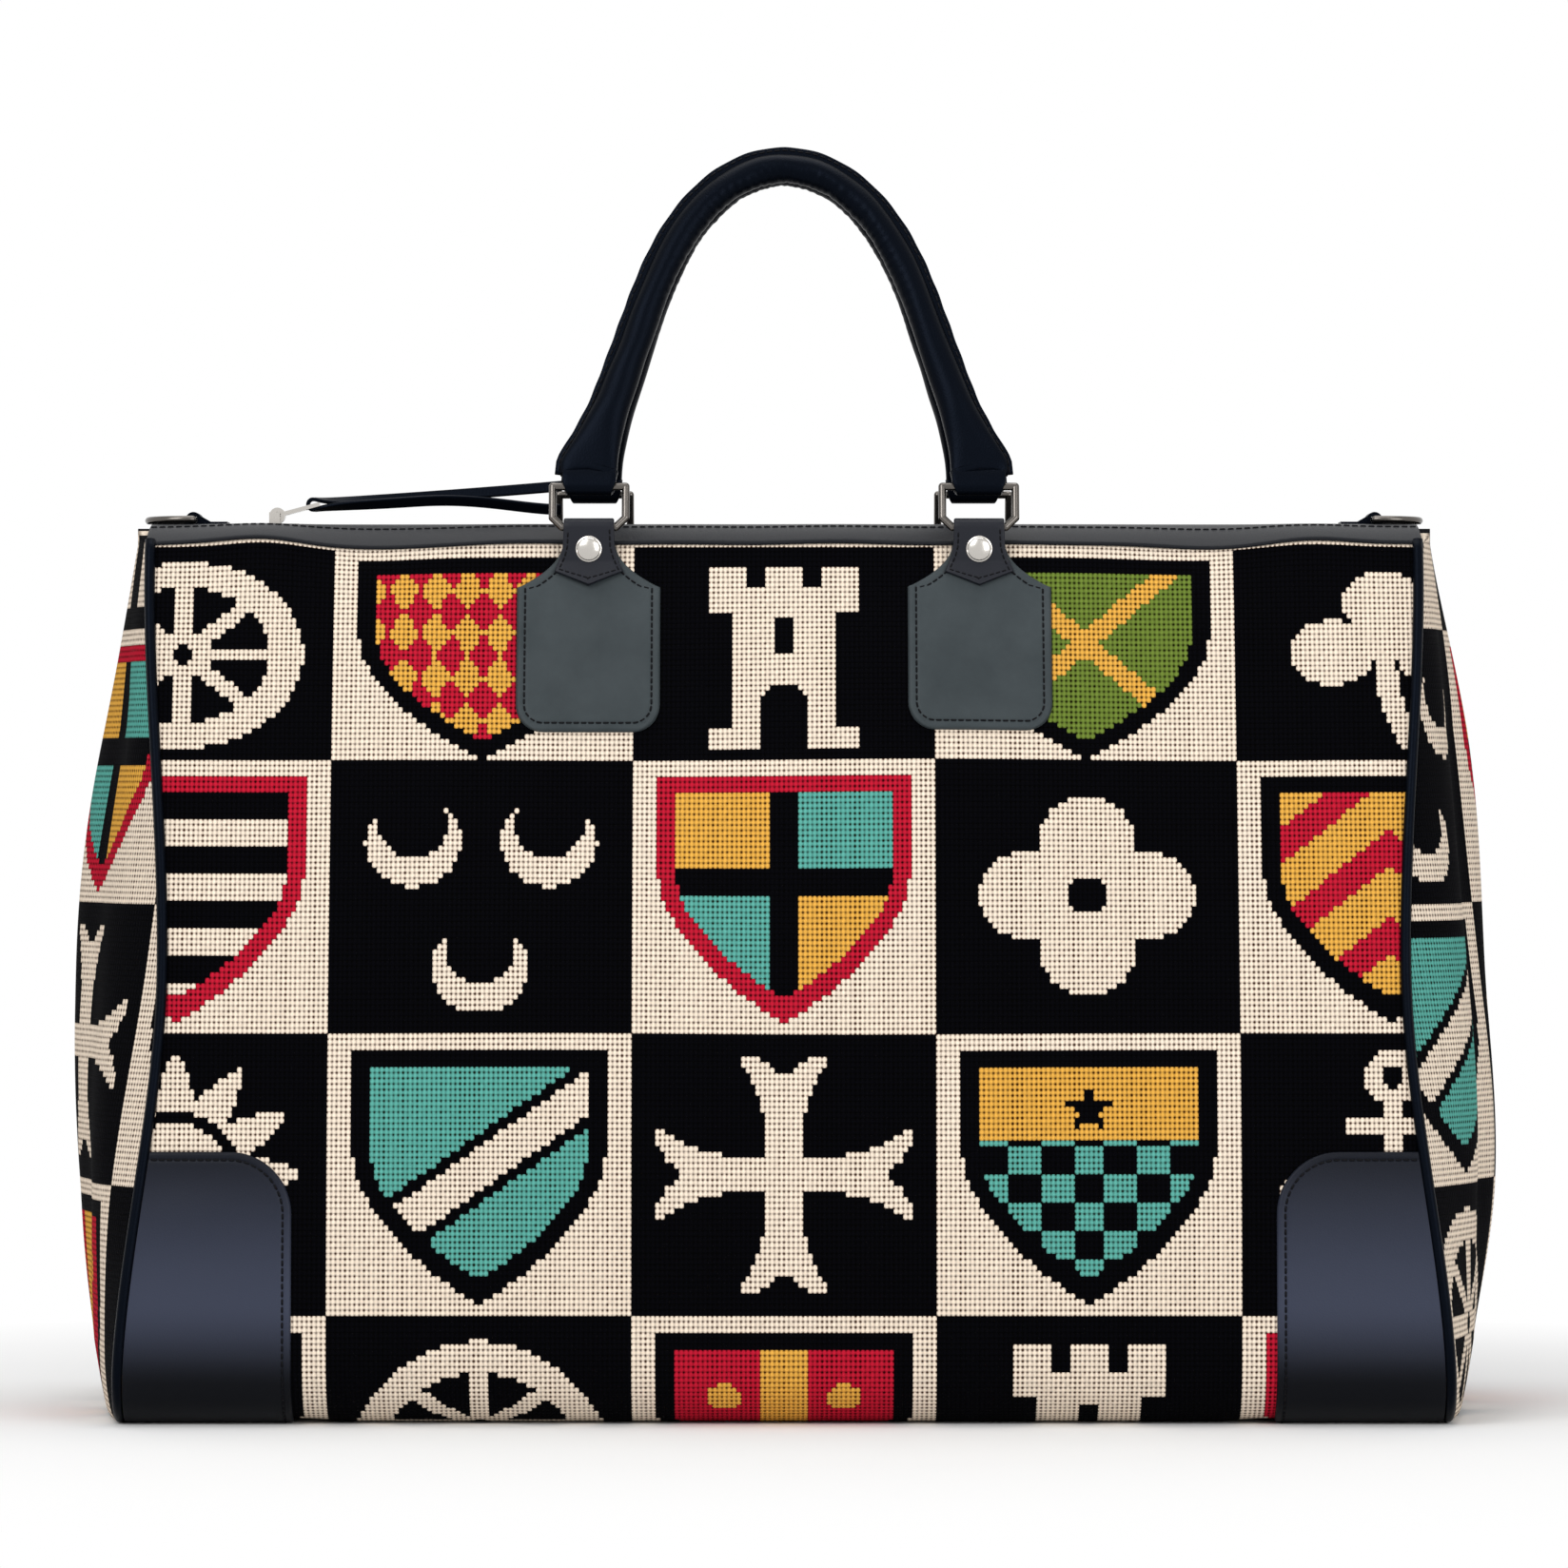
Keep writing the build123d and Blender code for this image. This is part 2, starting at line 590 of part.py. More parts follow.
rim_low = (end_x + wing_reach, leg_end_z - flange_width / 2)
right_rim = [rim_low] + outer_rim
rim = right_rim + [(-x, z) for x, z in reversed(right_rim[:-1])]
rim_curve = Spline(*[(x, bar_y - flange_thickness / 2, z) for x, z in rim])
inner = [(end_x, leg_end_z + flange_width)] + arch[1:]
inner = inner + [(0, top_bar_z + handle_rise)] + [(-x, z) for x, z in reversed(inner)]
inner_curve = Spline(*[(x, bar_y - flange_thickness / 2, z) for x, z in inner])
flange = extrude(Face(Wire([rim_curve, inner_curve, Line(rim_curve @ 0, inner_curve @ 0),
                            Line(rim_curve @ 1, inner_curve @ 1)])), amount=flange_thickness, dir=(0, 1, 0))
handle = handle + loop + across(loop) + flange
top_bore = pin((-bag_length, bar_y, top_bar_z), (bag_length, bar_y, top_bar_z), bore)
handle = handle - top_bore
handle = handle.rotate(ring_axis, -lean_angle)
save(handle, "handle_front")
save(behind(handle), "handle_back")

# D-rings and the leather loops that hold them.
d_fold = d_wire + turn_gap + patch_leather
d_z = tape_level + tape_thickness + fit_gap + loop_base + d_fold
loop_low = d_z - d_fold - loop_base
corner_y = d_width / 2 - d_wire
bow = ThreePointArc((d_x, -corner_y, d_z), (d_x + d_reach - d_wire, 0, d_z), (d_x, corner_y, d_z))
d_ring = sweep(Plane(bow @ 0, z_dir=bow % 0) * Circle(d_wire), path=bow)
d_ring += pin((d_x, -corner_y, d_z), (d_x, corner_y, d_z), d_wire)
for side in (1, -1):
    d_ring += Pos(d_x, side * corner_y, d_z) * Sphere(d_wire)
d_ring = d_ring.rotate(Axis((d_x, 0, d_z), (0, 1, 0)), d_droop)
save(d_ring, "d_ring_right")
save(across(d_ring), "d_ring_left")
holder = pin((d_x, -loop_width / 2, d_z), (d_x, loop_width / 2, d_z), d_fold)
holder += strip([(d_x + d_wire, loop_low), (d_x - loop_length, loop_low),
                 (d_x - loop_length, loop_low + 2 * patch_leather),
                 (d_x - loop_length / 2, loop_low + 2 * patch_leather),
                 (d_x, d_z + d_fold), (d_x, d_z - d_fold)],
                "y", -loop_width / 2, loop_width / 2)
holder -= pin((d_x, -bag_depth, d_z), (d_x, bag_depth, d_z), d_wire + turn_gap)
save(holder, "d_ring_loop_right")
save(across(holder), "d_ring_loop_left")
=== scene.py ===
import bpy
import numpy as np
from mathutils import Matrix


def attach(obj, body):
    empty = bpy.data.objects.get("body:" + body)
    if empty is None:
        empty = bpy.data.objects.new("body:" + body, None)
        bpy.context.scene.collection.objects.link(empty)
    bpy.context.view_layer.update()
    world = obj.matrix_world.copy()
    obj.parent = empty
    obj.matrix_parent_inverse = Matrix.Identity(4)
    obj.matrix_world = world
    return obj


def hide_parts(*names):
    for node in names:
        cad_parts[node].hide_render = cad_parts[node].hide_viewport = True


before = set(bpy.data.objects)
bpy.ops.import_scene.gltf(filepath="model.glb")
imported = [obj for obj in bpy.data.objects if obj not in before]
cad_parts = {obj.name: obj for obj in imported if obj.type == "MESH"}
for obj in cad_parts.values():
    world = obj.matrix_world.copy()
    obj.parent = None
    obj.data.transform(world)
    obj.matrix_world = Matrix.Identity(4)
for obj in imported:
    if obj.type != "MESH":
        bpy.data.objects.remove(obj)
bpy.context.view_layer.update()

# Front and back: wool needlepoint on an open canvas, in a check of black and cream squares.
# The cloth runs down the front, round a soft corner and under the base, where the two lengths meet.
# Every stitch is one face with its own dye, so all colour edges step by whole stitches as the real ones do.
stitch_wide = 1.907
stitch_tall = 2.26
base_level = 1.7
corner_radius = 26.0
round_level = base_level + corner_radius
top_level = 355.7
panel_run = top_level - round_level
half_depth = 118.0
top_half = 48.0
crown = 8.0
crown_reach = 277.0
seam_base = 267.0
waist_draw = 17.0
waist_share = 0.51
top_draw = 0.5


def seam_half(z):
    """Half the length between the end seams: drawn in smoothly to a waist, then let out again."""
    share = np.clip((z - base_level) / (top_level - base_level), 0, 1)
    low = np.clip(share / waist_share, 0, 1)
    high = np.clip((share - waist_share) / (1 - waist_share), 0, 1)
    draw = low ** 2 * (3 - 2 * low) - (1 - top_draw) * high ** 2 * (3 - 2 * high)
    return seam_base - waist_draw * draw


def panel_half(share, x):
    """Half depth at a share of the height: a parabola, less a puff that fades out towards mid-length."""
    ends = (x / crown_reach) ** 2
    return half_depth - (half_depth - top_half) * share ** 2 - 16 * crown * ends * (share * (1 - share)) ** 2


share_line = np.linspace(1, 0, 600)
run_line = np.hypot(np.diff(panel_half(share_line, 0)), np.diff(panel_run * share_line))
run_line = np.concatenate([[0], np.cumsum(run_line)])
front_run = run_line[-1]
corner_run = corner_radius * np.pi / 2
cloth_run = front_run + corner_run + half_depth - corner_radius


def cloth_soft(x, s, phase):
    """How far the cloth swells or sinks: slow waves, and short puckers that die away from the end seams."""
    share = np.interp(s, run_line, share_line)
    edge = np.clip((seam_half(round_level + panel_run * share) - np.abs(x)) / 60, 0, 1)
    down = np.clip(s / 50, 0, 1) * np.clip((front_run - s) / 60, 0, 1)
    slow = 1.5 * np.sin(x / 58 + 0.7 + phase) * np.sin(s / 47 + 0.4) + np.sin(x / 33 - s / 61 + 1.3 + phase)
    pucker = np.exp(-edge * 4) * edge * 5 * np.sin(s / 7.5 + 3 * np.sin(s / 41 + phase))
    under = np.clip((s - front_run - corner_run * 0.6) / 20, 0, 1) * np.clip((190 - np.abs(x)) / 15, 0, 1)
    return slow * edge * down + 0.45 * pucker * down + 1.4 * under


def top_wave(x):
    """How the sewn top edge lifts and dips along the zip: two humps and two hollows, all bell curves."""
    humps = 2.4 * np.exp(-((x + 212) / 20) ** 2) + 1.6 * np.exp(-((x - 214) / 22) ** 2)
    hollows = 2.2 * np.exp(-((x + 170) / 28) ** 2) + 2.0 * np.exp(-((x - 166) / 34) ** 2)
    return humps - hollows


def cloth_place(x, s, off=0.0, phase=0.0):
    """Front cloth at x and a distance s down from its top edge, lifted by off along its normal."""
    share = np.interp(s, run_line, share_line)
    turn = np.clip((s - front_run) / corner_radius, 0, np.pi / 2)
    under = np.clip(s - front_run - corner_run, 0, None)
    ends = (x / crown_reach) ** 2
    puff = share * (1 - share) * (1 - 2 * share)
    slope = -(2 * (half_depth - top_half) * share + 32 * crown * ends * puff) / panel_run
    size = np.hypot(1, slope)
    out = np.cos(turn) / size
    up = -slope / size - np.sin(turn)
    lift = off + cloth_soft(x, s, phase)
    depth = panel_half(share, x) - corner_radius * (1 - np.cos(turn)) - under + lift * out
    height = round_level + panel_run * share - corner_radius * np.sin(turn) + lift * up
    height = height + top_wave(x) * np.clip(1 - s / 45, 0, 1) ** 2
    return np.stack([x, -depth, height], -1)


def dye(red, green, blue):
    """A colour as it looks on a screen, made linear for the shader."""
    tone = np.array([red, green, blue]) / 255
    return np.where(tone > 0.04045, ((tone + 0.055) / 1.055) ** 2.4, tone / 12.92)


black, cream, red, gold, teal, green = range(6)
wool = np.array([dye(4, 4, 7), dye(247, 230, 210), dye(192, 28, 52), dye(232, 173, 74), dye(92, 171, 159),
                 dye(108, 130, 53)])


def star(p, q, radius, points):
    """A pointed star: inside all but one of the lines that join every second point."""
    inner = radius * np.cos(2 * np.pi / points)
    outside = 0
    for k in range(points):
        turn = 2 * np.pi * (k + 0.5) / points
        outside = outside + (p * np.sin(turn) - q * np.cos(turn) > inner)
    return outside < 2


def sun(p, q):
    """A disc inside a ring of pointed rays, whose length falls off to either side of each point."""
    far = np.hypot(p, q)
    aside = np.abs((np.arctan2(p, q) * 6 / np.pi + 0.5) % 1 - 0.5) * 2
    return (far < 19) | ((far > 23) & (far < 46 - 20 * aside))


def trefoil(p, q):
    """A three-lobed leaf on a bent stalk."""
    a = np.abs(p)
    lobes = (np.hypot(p, q - 24) < 15) | (np.hypot(a - 19, q - 1) < 15) | (np.hypot(p, q - 6) < 10)
    stalk = (np.abs(p - 9 * ((q + 2) / 40) ** 2) < 4) & (np.abs(q + 22) < 22)
    return lobes | stalk


def wheel(p, q):
    """A rim, a hub and eight spokes."""
    far = np.hypot(p, q)
    spoke = np.abs((np.arctan2(p, q) * 4 / np.pi + 0.5) % 1 - 0.5) * far * np.pi / 4 < 3.2
    return (np.abs(far - 37) < 6) | ((far < 10) & (far > 4)) | (spoke & (far < 37) & (far > 8))


def flared_cross(p, q):
    """A cross whose arms widen and fork at their ends."""
    long, short = np.maximum(np.abs(p), np.abs(q)), np.minimum(np.abs(p), np.abs(q))
    arm = short < 6.5 + 10 * (np.clip(long - 16, 0, None) / 28) ** 1.7
    return arm & (long < 45 - 0.04 * (short - 15) ** 2) & ~((long > 36 + short) & (short < 6))


def tower(p, q):
    """A tower with battlements, a doorway and a slit."""
    a = np.abs(p)
    wall = ((a < 19) & (np.abs(q + 6) < 32)) | ((a < 26) & (np.abs(q + 38) < 5))
    top = (a < 26) & (np.abs(q - 26) < 6)
    teeth = (np.abs(q - 37) < 5) & ((a < 7) | (np.abs(a - 20) < 6))
    door = (a < 8) & (q < -12) & (q > -44) & (np.hypot(p, np.clip(q + 22, 0, None)) < 8)
    return (wall | top | teeth) & ~door & ~((a < 3) & (np.abs(q - 8) < 8))


def crescents(p, q):
    """Three crescents, two over one."""
    a = np.abs(np.where(q > -4, np.abs(p) - 24, p))
    b = np.where(q > -4, q - 20, q + 28)
    return (np.hypot(a, b) < 17) & (np.hypot(a, b - 7) > 12.5)


def leaf_knot(p, q):
    """Four round leaves about an open middle."""
    a, b = np.abs(p), np.abs(q)
    far = np.hypot(a, b)
    return ((np.hypot(a - 21, b) < 17) | (np.hypot(a, b - 21) < 17) | (far < 19)) & (far > 7)


def rings(p, q):
    """Three rings, one over two."""
    a = np.where(q > 2, p, np.abs(p) - 23)
    b = np.where(q > 2, q - 22, q + 20)
    return np.abs(np.hypot(a, b) - 13) < 4.5


def anchor(p, q):
    """An anchor: a ring, a straight shank, a short bar and an arc with a barb at each end."""
    a = np.abs(p)
    ring = np.abs(np.hypot(p, q - 36) - 7) < 3.2
    shank = ((a < 4) & (np.abs(q + 5) < 35)) | ((a < 17) & (np.abs(q - 18) < 3.5))
    foot = (np.abs(np.hypot(p, q + 8) - 31) < 4.5) & (q < -12)
    barb = (np.abs(a - 31) < 11 + 0.7 * (q + 5)) & (np.abs(q + 12) < 9) & (np.abs(a - 31) < 9 - 0.7 * (q + 5))
    return ring | shank | foot | barb


def shield(p, q, rim, field):
    """A shield on cream: straight at the top, curving to a point, with a rim round its field."""
    def inside(grow):
        """Nearer the middle than a width that shrinks downwards by a power, and under the top."""
        drop = np.clip((14 - q) / (66 + 1.4 * grow), 0, 1)
        return (np.abs(p) < (51 + grow) * (1 - drop ** 2.1)) & (q < 49 + grow)
    return np.where(inside(-7), field, np.where(inside(0), rim, cream))


def chevrons(p, q):
    """Bent stripes: height plus a share of the distance from the middle, in turns of red and gold."""
    return shield(p, q, black, np.where((q + np.abs(p) * 0.8 + 60) % 36 < 15, red, gold))


def saltire(p, q):
    """A gold diagonal cross on green: where the distances across and up are nearly alike."""
    cross = np.abs(np.abs(p) - np.abs(q - 6) * 0.95) < 6
    return shield(p, q, black, np.where(cross, gold, green))


def lozenges(p, q):
    """Red and gold diamonds: whole steps along two slanting axes, added and taken as odd or even."""
    cell = np.floor(p / 13 + q / 22 + 0.5) + np.floor(p / 13 - q / 22 + 0.5)
    return shield(p, q, black, np.where(cell % 2 == 0, red, gold))


def quarters(p, q):
    """Teal and gold quarters by the signs of both distances, parted by a black cross."""
    field = np.where((p > 0) == (q > 6), teal, gold)
    return shield(p, q, red, np.where((np.abs(p) < 5) | (np.abs(q - 6) < 5), black, field))


def chequers(p, q):
    """A gold top with a star, over small squares by whole steps across and down, odd or even."""
    cell = np.floor(p / 13 + 0.5) + np.floor(q / 11.3)
    field = np.where(q > 14, gold, np.where(cell % 2 == 0, teal, black))
    return shield(p, q, black, np.where((q > 14) & star(p, q - 26, 11, 5), black, field))


def diagonal(p, q):
    """A cream band with black edges on teal, by the distance from a slanting line."""
    band = np.abs(q - p * 0.7 - 2)
    return shield(p, q, black, np.where(band < 9, cream, np.where(band < 14, black, teal)))


def bars(p, q):
    """Level black and cream bars: the height, in turns."""
    return shield(p, q, red, np.where((q + 60) % 23 < 11.5, black, cream))


def pale(p, q):
    """An upright gold band on red, by the distance from the middle, with a round spot on each side."""
    ball = np.hypot(np.abs(p) - 24, q - 22) < 7
    return shield(p, q, black, np.where(np.abs(p) < 10, gold, np.where(ball, gold, red)))


charges = (wheel, tower, trefoil, crescents, leaf_knot, rings, sun, flared_cross, anchor)
shields = (lozenges, saltire, pale, bars, quarters, chevrons, diagonal, chequers)
square_wide = 64
square_tall = 50


def needlepoint(i, j, first_row, shift, short_top):
    """Dye number of the stitch in column i and row j: squares of stitches, each with its own device.
    A short top row has its devices drawn a little smaller, under a thin cream edge."""
    column = np.floor((i - shift) / square_wide).astype(int)
    row = np.floor((j - first_row) / square_tall).astype(int)
    p = ((i - shift) % square_wide + 0.5 - square_wide / 2) * stitch_wide
    q = (square_tall / 2 - (j - first_row) % square_tall - 0.5) * stitch_tall
    top = (row < 0) & short_top
    q = np.where(top, (first_row / 2 + 1 - j - 0.5) * stitch_tall / 0.87, q)
    dark = (column + row) % 2 == 1
    turn = np.floor((column + 2) / 2).astype(int) + 3 * (row + 1)
    result = np.where(dark, black, cream)
    for k, charge in enumerate(charges):
        here = dark & (turn % len(charges) == k)
        result = np.where(here & charge(p / 1.14, q / 1.08), cream, result)
    for k, device in enumerate(shields):
        here = ~dark & (turn % len(shields) == k)
        result = np.where(here, device(p, q), result)
    return np.where(top & (j < 1), cream, result)


def grid_faces(rows, columns):
    """Four corners for each cell of a grid, counted row by row."""
    at = np.arange(rows * columns).reshape(rows, columns)
    return np.stack([at[:-1, :-1], at[1:, :-1], at[1:, 1:], at[:-1, 1:]], -1).reshape(-1, 4)


def put_parts(name, parts, materials):
    """One mesh from several parts, each with points, faces, caps and the number of its material."""
    spots, loops, sizes, skins = [], [], [], []
    start = 0
    for (points, faces, caps), number in parts:
        spots.append(points)
        loops.append(faces.ravel() + start)
        sizes.append(np.full(len(faces), faces.shape[1]))
        skins.append(np.full(len(faces) + len(caps), number))
        for cap in caps:
            loops.append(cap + start)
            sizes.append([len(cap)])
        start += len(points)
    sizes = np.concatenate(sizes)
    mesh = bpy.data.meshes.new(name)
    mesh.vertices.add(start)
    mesh.vertices.foreach_set("co", np.concatenate(spots).ravel() / 1000)
    mesh.loops.add(sizes.sum())
    mesh.loops.foreach_set("vertex_index", np.concatenate(loops))
    mesh.polygons.add(len(sizes))
    mesh.polygons.foreach_set("loop_start", np.concatenate([[0], np.cumsum(sizes)[:-1]]))
    mesh.polygons.foreach_set("use_smooth", np.full(len(sizes), True))
    mesh.polygons.foreach_set("material_index", np.concatenate(skins))
    mesh.update(calc_edges=True)
    piece = bpy.data.objects.new(name, mesh)
    bpy.context.scene.collection.objects.link(piece)
    for material in materials:
        mesh.materials.append(material)
    return piece


def put_cloth(name, points, i, j, across, *layout):
    """A cloth mesh with a face for each stitch of column i and row j that has any width across.
    Each face has its dye, and a map counts the stitches."""
    faces = grid_faces(*i.shape)
    corners = across.ravel()[faces]
    keep = corners[:, 3] - corners[:, 0] + corners[:, 2] - corners[:, 1] > 1e-6
    faces = faces[keep]
    used, place = np.unique(faces, return_inverse=True)
    piece = put_parts(name, [((points.reshape(-1, 3)[used], place.reshape(-1, 4), []), 0)], [cloth])
    dyes = needlepoint(i[:-1, :-1].ravel()[keep], np.clip(j[:-1, :-1].ravel()[keep], 0, None), *layout)
    colour = piece.data.color_attributes.new("wool", "FLOAT_COLOR", "CORNER")
    tint = np.concatenate([wool[dyes], np.ones((len(dyes), 1))], 1)
    colour.data.foreach_set("color", np.repeat(tint, 4, 0).ravel())
    count = piece.data.uv_layers.new(name="stitches")
    count.data.foreach_set("uv", np.stack([i, j], -1).reshape(-1, 2)[faces].ravel() + 0.0)
    return piece


def link(tree, out, into):
    """Join one socket to another."""
    tree.links.new(out, into)


def add(tree, kind, **values):
    """A shader node with its settings and plain socket values."""
    node = tree.nodes.new("ShaderNode" + kind)
    for key, value in values.items():
        if hasattr(node, key):
            setattr(node, key, value)
        else:
            node.inputs[key.replace("_", " ")].default_value = value
    return node


def maths(tree, operation, first, second):
    """Two values joined by one operation; plain numbers are set on the socket."""
    node = add(tree, "Math", operation=operation)
    for socket, value in zip(node.inputs, (first, second)):
        if isinstance(value, (int, float)):
            socket.default_value = value
        else:
            link(tree, value, socket)
    return node.outputs[0]


def finish_named(name, tint, rough):
    """A material of one colour and roughness, with its nodes and the node that shades the surface."""
    material = bpy.data.materials.new(name)
    material.use_nodes = True
    skin = material.node_tree.nodes["Principled BSDF"]
    skin.inputs["Base Color"].default_value = (*tint, 1)
    skin.inputs["Roughness"].default_value = rough
    return material, material.node_tree, skin


def emboss(tree, skin, height, strength, distance):
    """Shade a surface as if it were raised by a height."""
    bump = add(tree, "Bump", Strength=strength, Distance=distance)
    link(tree, height, bump.inputs["Height"])
    link(tree, bump.outputs[0], skin.inputs["Normal"])


cloth, tree, skin = finish_named("needlepoint_wool", wool[cream], 0.92)
skin.inputs["Specular IOR Level"].default_value = 0.03
dyed = add(tree, "Attribute", attribute_name="wool")
count = add(tree, "UVMap", uv_map="stitches")
axes = add(tree, "SeparateXYZ")
link(tree, count.outputs[0], axes.inputs[0])
across = maths(tree, "FRACT", axes.outputs[0], 0.0)
down = maths(tree, "FRACT", axes.outputs[1], 0.0)
far_across = maths(tree, "MULTIPLY", maths(tree, "ABSOLUTE", maths(tree, "SUBTRACT", across, 0.5), 0.0), 2.0)
far_down = maths(tree, "MULTIPLY", maths(tree, "ABSOLUTE", maths(tree, "SUBTRACT", down, 0.5), 0.0), 2.0)
hole_shade_mask = maths(tree, "MULTIPLY", maths(tree, "POWER", far_across, 1.25),
                   maths(tree, "POWER", far_down, 1.5))
hole_across = maths(tree, "FLOOR", maths(tree, "ADD", axes.outputs[0], 0.5), 0.0)
hole_down = maths(tree, "FLOOR", maths(tree, "ADD", axes.outputs[1], 0.5), 0.0)
hole_spot = add(tree, "CombineXYZ")
link(tree, hole_across, hole_spot.inputs[0])
link(tree, hole_down, hole_spot.inputs[1])
open_hole = add(tree, "TexWhiteNoise", noise_dimensions="2D")
link(tree, hole_spot.outputs[0], open_hole.inputs[0])
open_row = add(tree, "TexWhiteNoise", noise_dimensions="1D")
link(tree, hole_across, open_row.inputs["W"])
depth = maths(tree, "ADD", maths(tree, "MULTIPLY", open_hole.outputs[0], 0.6),
              maths(tree, "MULTIPLY", maths(tree, "POWER", open_row.outputs[0], 2.0), 0.7))
hole_shade_mask = maths(tree, "MINIMUM", maths(tree, "MULTIPLY", hole_shade_mask, maths(tree, "ADD", depth, 0.95)), 1.0)
whole = add(tree, "VectorMath", operation="FLOOR")
link(tree, count.outputs[0], whole.inputs[0])
strand = add(tree, "TexWhiteNoise", noise_dimensions="2D")
link(tree, whole.outputs[0], strand.inputs[0])
worn = maths(tree, "ADD", maths(tree, "MULTIPLY", strand.outputs[0], 0.1), 0.95)
shaded = add(tree, "Mix", data_type="RGBA", blend_type="MULTIPLY", Factor=1.0)
link(tree, dyed.outputs[0], shaded.inputs[6])
link(tree, worn, shaded.inputs[7])
# Dark brown dots where four stitches meet, darker where the noise opens a hole or a row wider: painted shade
# in the open canvas holes.
hole_shade = add(tree, "Mix", data_type="RGBA", blend_type="MULTIPLY")
hole_shade.inputs[7].default_value = (0.06, 0.024, 0.012, 1)
link(tree, hole_shade_mask, hole_shade.inputs[0])
link(tree, shaded.outputs[2], hole_shade.inputs[6])
link(tree, hole_shade.outputs[2], skin.inputs["Base Color"])
valley = maths(tree, "MAXIMUM", maths(tree, "POWER", far_across, 3.0), maths(tree, "POWER", far_down, 3.0))
emboss(tree, skin, maths(tree, "SUBTRACT", 1.0, valley), 0.8, 0.0006)

columns = 284
panel_first_row = 42
panel_shift = 110
back_phase = 2.1
rows = int(cloth_run / stitch_tall) + 1
for side, phase in (("front", 0.0), ("back", back_phase)):
    i, j = np.meshgrid(np.arange(columns + 1), np.arange(-1, rows + 1))
    s = np.clip(j * stitch_tall, 0, cloth_run)
    flat_x = (i - columns / 2) * stitch_wide
    level = cloth_place(0 * flat_x, s)[..., 2]
    x = np.clip(flat_x, -seam_half(level), seam_half(level))
    points = cloth_place(x, s, 0.0, phase)
    points[0, :, 1] += 4.0
    if side == "back":
        points[..., :2] *= -1
    piece = put_cloth("cloth_" + side, points, i, j, x, panel_first_row, panel_shift, True)
    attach(piece, "bag")
    if side == "front":
        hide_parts("body_wrap")

# Ends: two needlepoint gussets that bulge past their seams and narrow to the zip.
# The same wool and check as the panels, half a square lower, with two soft upright dents.
seam_gap = 2.3
bulge_most = 42.0
bulge_at = 0.46
bulge_low = 0.27
bulge_high = 0.2
bulge_round = 1.15
ridge_level = top_level + 8.5


def seam_depth(z):
    """Half depth of the seam: the panel's own half depth, rounded in at the base corner."""
    drop = np.clip(round_level - z, 0, corner_radius)
    share = np.clip((z - round_level) / panel_run, 0, 1)
    return panel_half(share, seam_half(z)) - corner_radius + np.sqrt(corner_radius ** 2 - drop ** 2)


def bulge(z):
    """How far an end stands past its seam: a sine up to the fullest height and a cosine above it."""
    share = np.clip((z - base_level) / (top_level - base_level), 0, 1)
    rise = np.sin(np.pi / 2 * np.clip(share / bulge_at, 0, 1)) ** bulge_round
    fall = np.cos(np.pi / 2 * np.clip((share - bulge_at) / (1 - bulge_at), 0, 0.9999)) ** bulge_round
    low = bulge_low + (1 - bulge_low) * rise
    return bulge_most * np.where(share < bulge_at, low, bulge_high + (1 - bulge_high) * fall)


fall_line = np.linspace(top_level, base_level, 800)
fall_run = np.hypot(np.diff(fall_line), np.diff(seam_half(fall_line) + bulge(fall_line)))
fall_run = np.concatenate([[0], np.cumsum(fall_run)])
end_rows = int(fall_run[-1] / stitch_tall)
end_half = 64
end_first_row = 16
end_shift = -12
tent_rise = 6.7


def gusset_place(t, z, phase):
    """End cloth a distance t round from its middle at height z: an arc from seam to seam, with soft folds."""
    rise = bulge(z) - seam_gap
    depth = seam_depth(z)
    radius = (depth ** 2 + rise ** 2) / (2 * rise)
    half_arc = radius * np.arctan2(depth, radius - rise)
    t = np.clip(t, -half_arc, half_arc)
    angle = t / radius
    fade = np.clip((half_arc - np.abs(t)) / 30, 0, 1) * np.clip((z - 30) / 60, 0, 1)
    fade = fade * np.clip((350 - z) / 70, 0, 1)
    dent = -6.0 * np.exp(-((t + 38 + 8 * np.sin(z / 60 + phase)) / 17) ** 2)
    dent = dent - 4.0 * np.exp(-((t - 44 + 6 * np.sin(z / 45 + phase)) / 20) ** 2)
    soft = fade * (dent + 1.6 * np.sin(z / 37 + t / 30 + phase))
    x = seam_half(z) + seam_gap + rise - radius * (1 - np.cos(angle)) + soft * np.cos(angle)
    return np.stack([x, radius * np.sin(angle) + soft * np.sin(angle), z], -1), t


for side, phase in (("right", 0.0), ("left", 1.9)):
    i, j = np.meshgrid(np.arange(-end_half, end_half + 1), np.arange(-2, end_rows + 2))
    z = np.interp(np.clip(j * stitch_tall, 0, fall_run[-1]), fall_run, fall_line)
    points, t = gusset_place(i * stitch_wide, z, phase)
    points[:2, :, 2] += tent_rise * np.clip((46 - np.abs(points[:2, :, 1])) / 35, 0, 1)
    points[0, :, 0] = seam_half(top_level) + seam_gap
    points[-1, :, 0] = seam_half(base_level) + seam_gap
    if side == "left":
        points[..., :2] *= -1
    piece = put_cloth("cloth_" + side, points, i, j, t, end_first_row, end_shift, False)
    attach(piece, "bag")
    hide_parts("gusset_" + side)

# Piping: a cord covered in black leather, sewn into each end seam.
# It runs down the front seam, under the base and up the back, standing a little proud of the cloth.
piping_radius = 2.15
piping_proud = 0.8


def square_to(way, lead):
    """Unit directions on a path: along it, the lead less its share along it, and square to both."""
    way = way / np.linalg.norm(way, axis=1, keepdims=True)
    first = lead - np.sum(way * lead, 1, keepdims=True) * way
    first = first / np.linalg.norm(first, axis=1, keepdims=True)
    return way, first, np.cross(first, way)


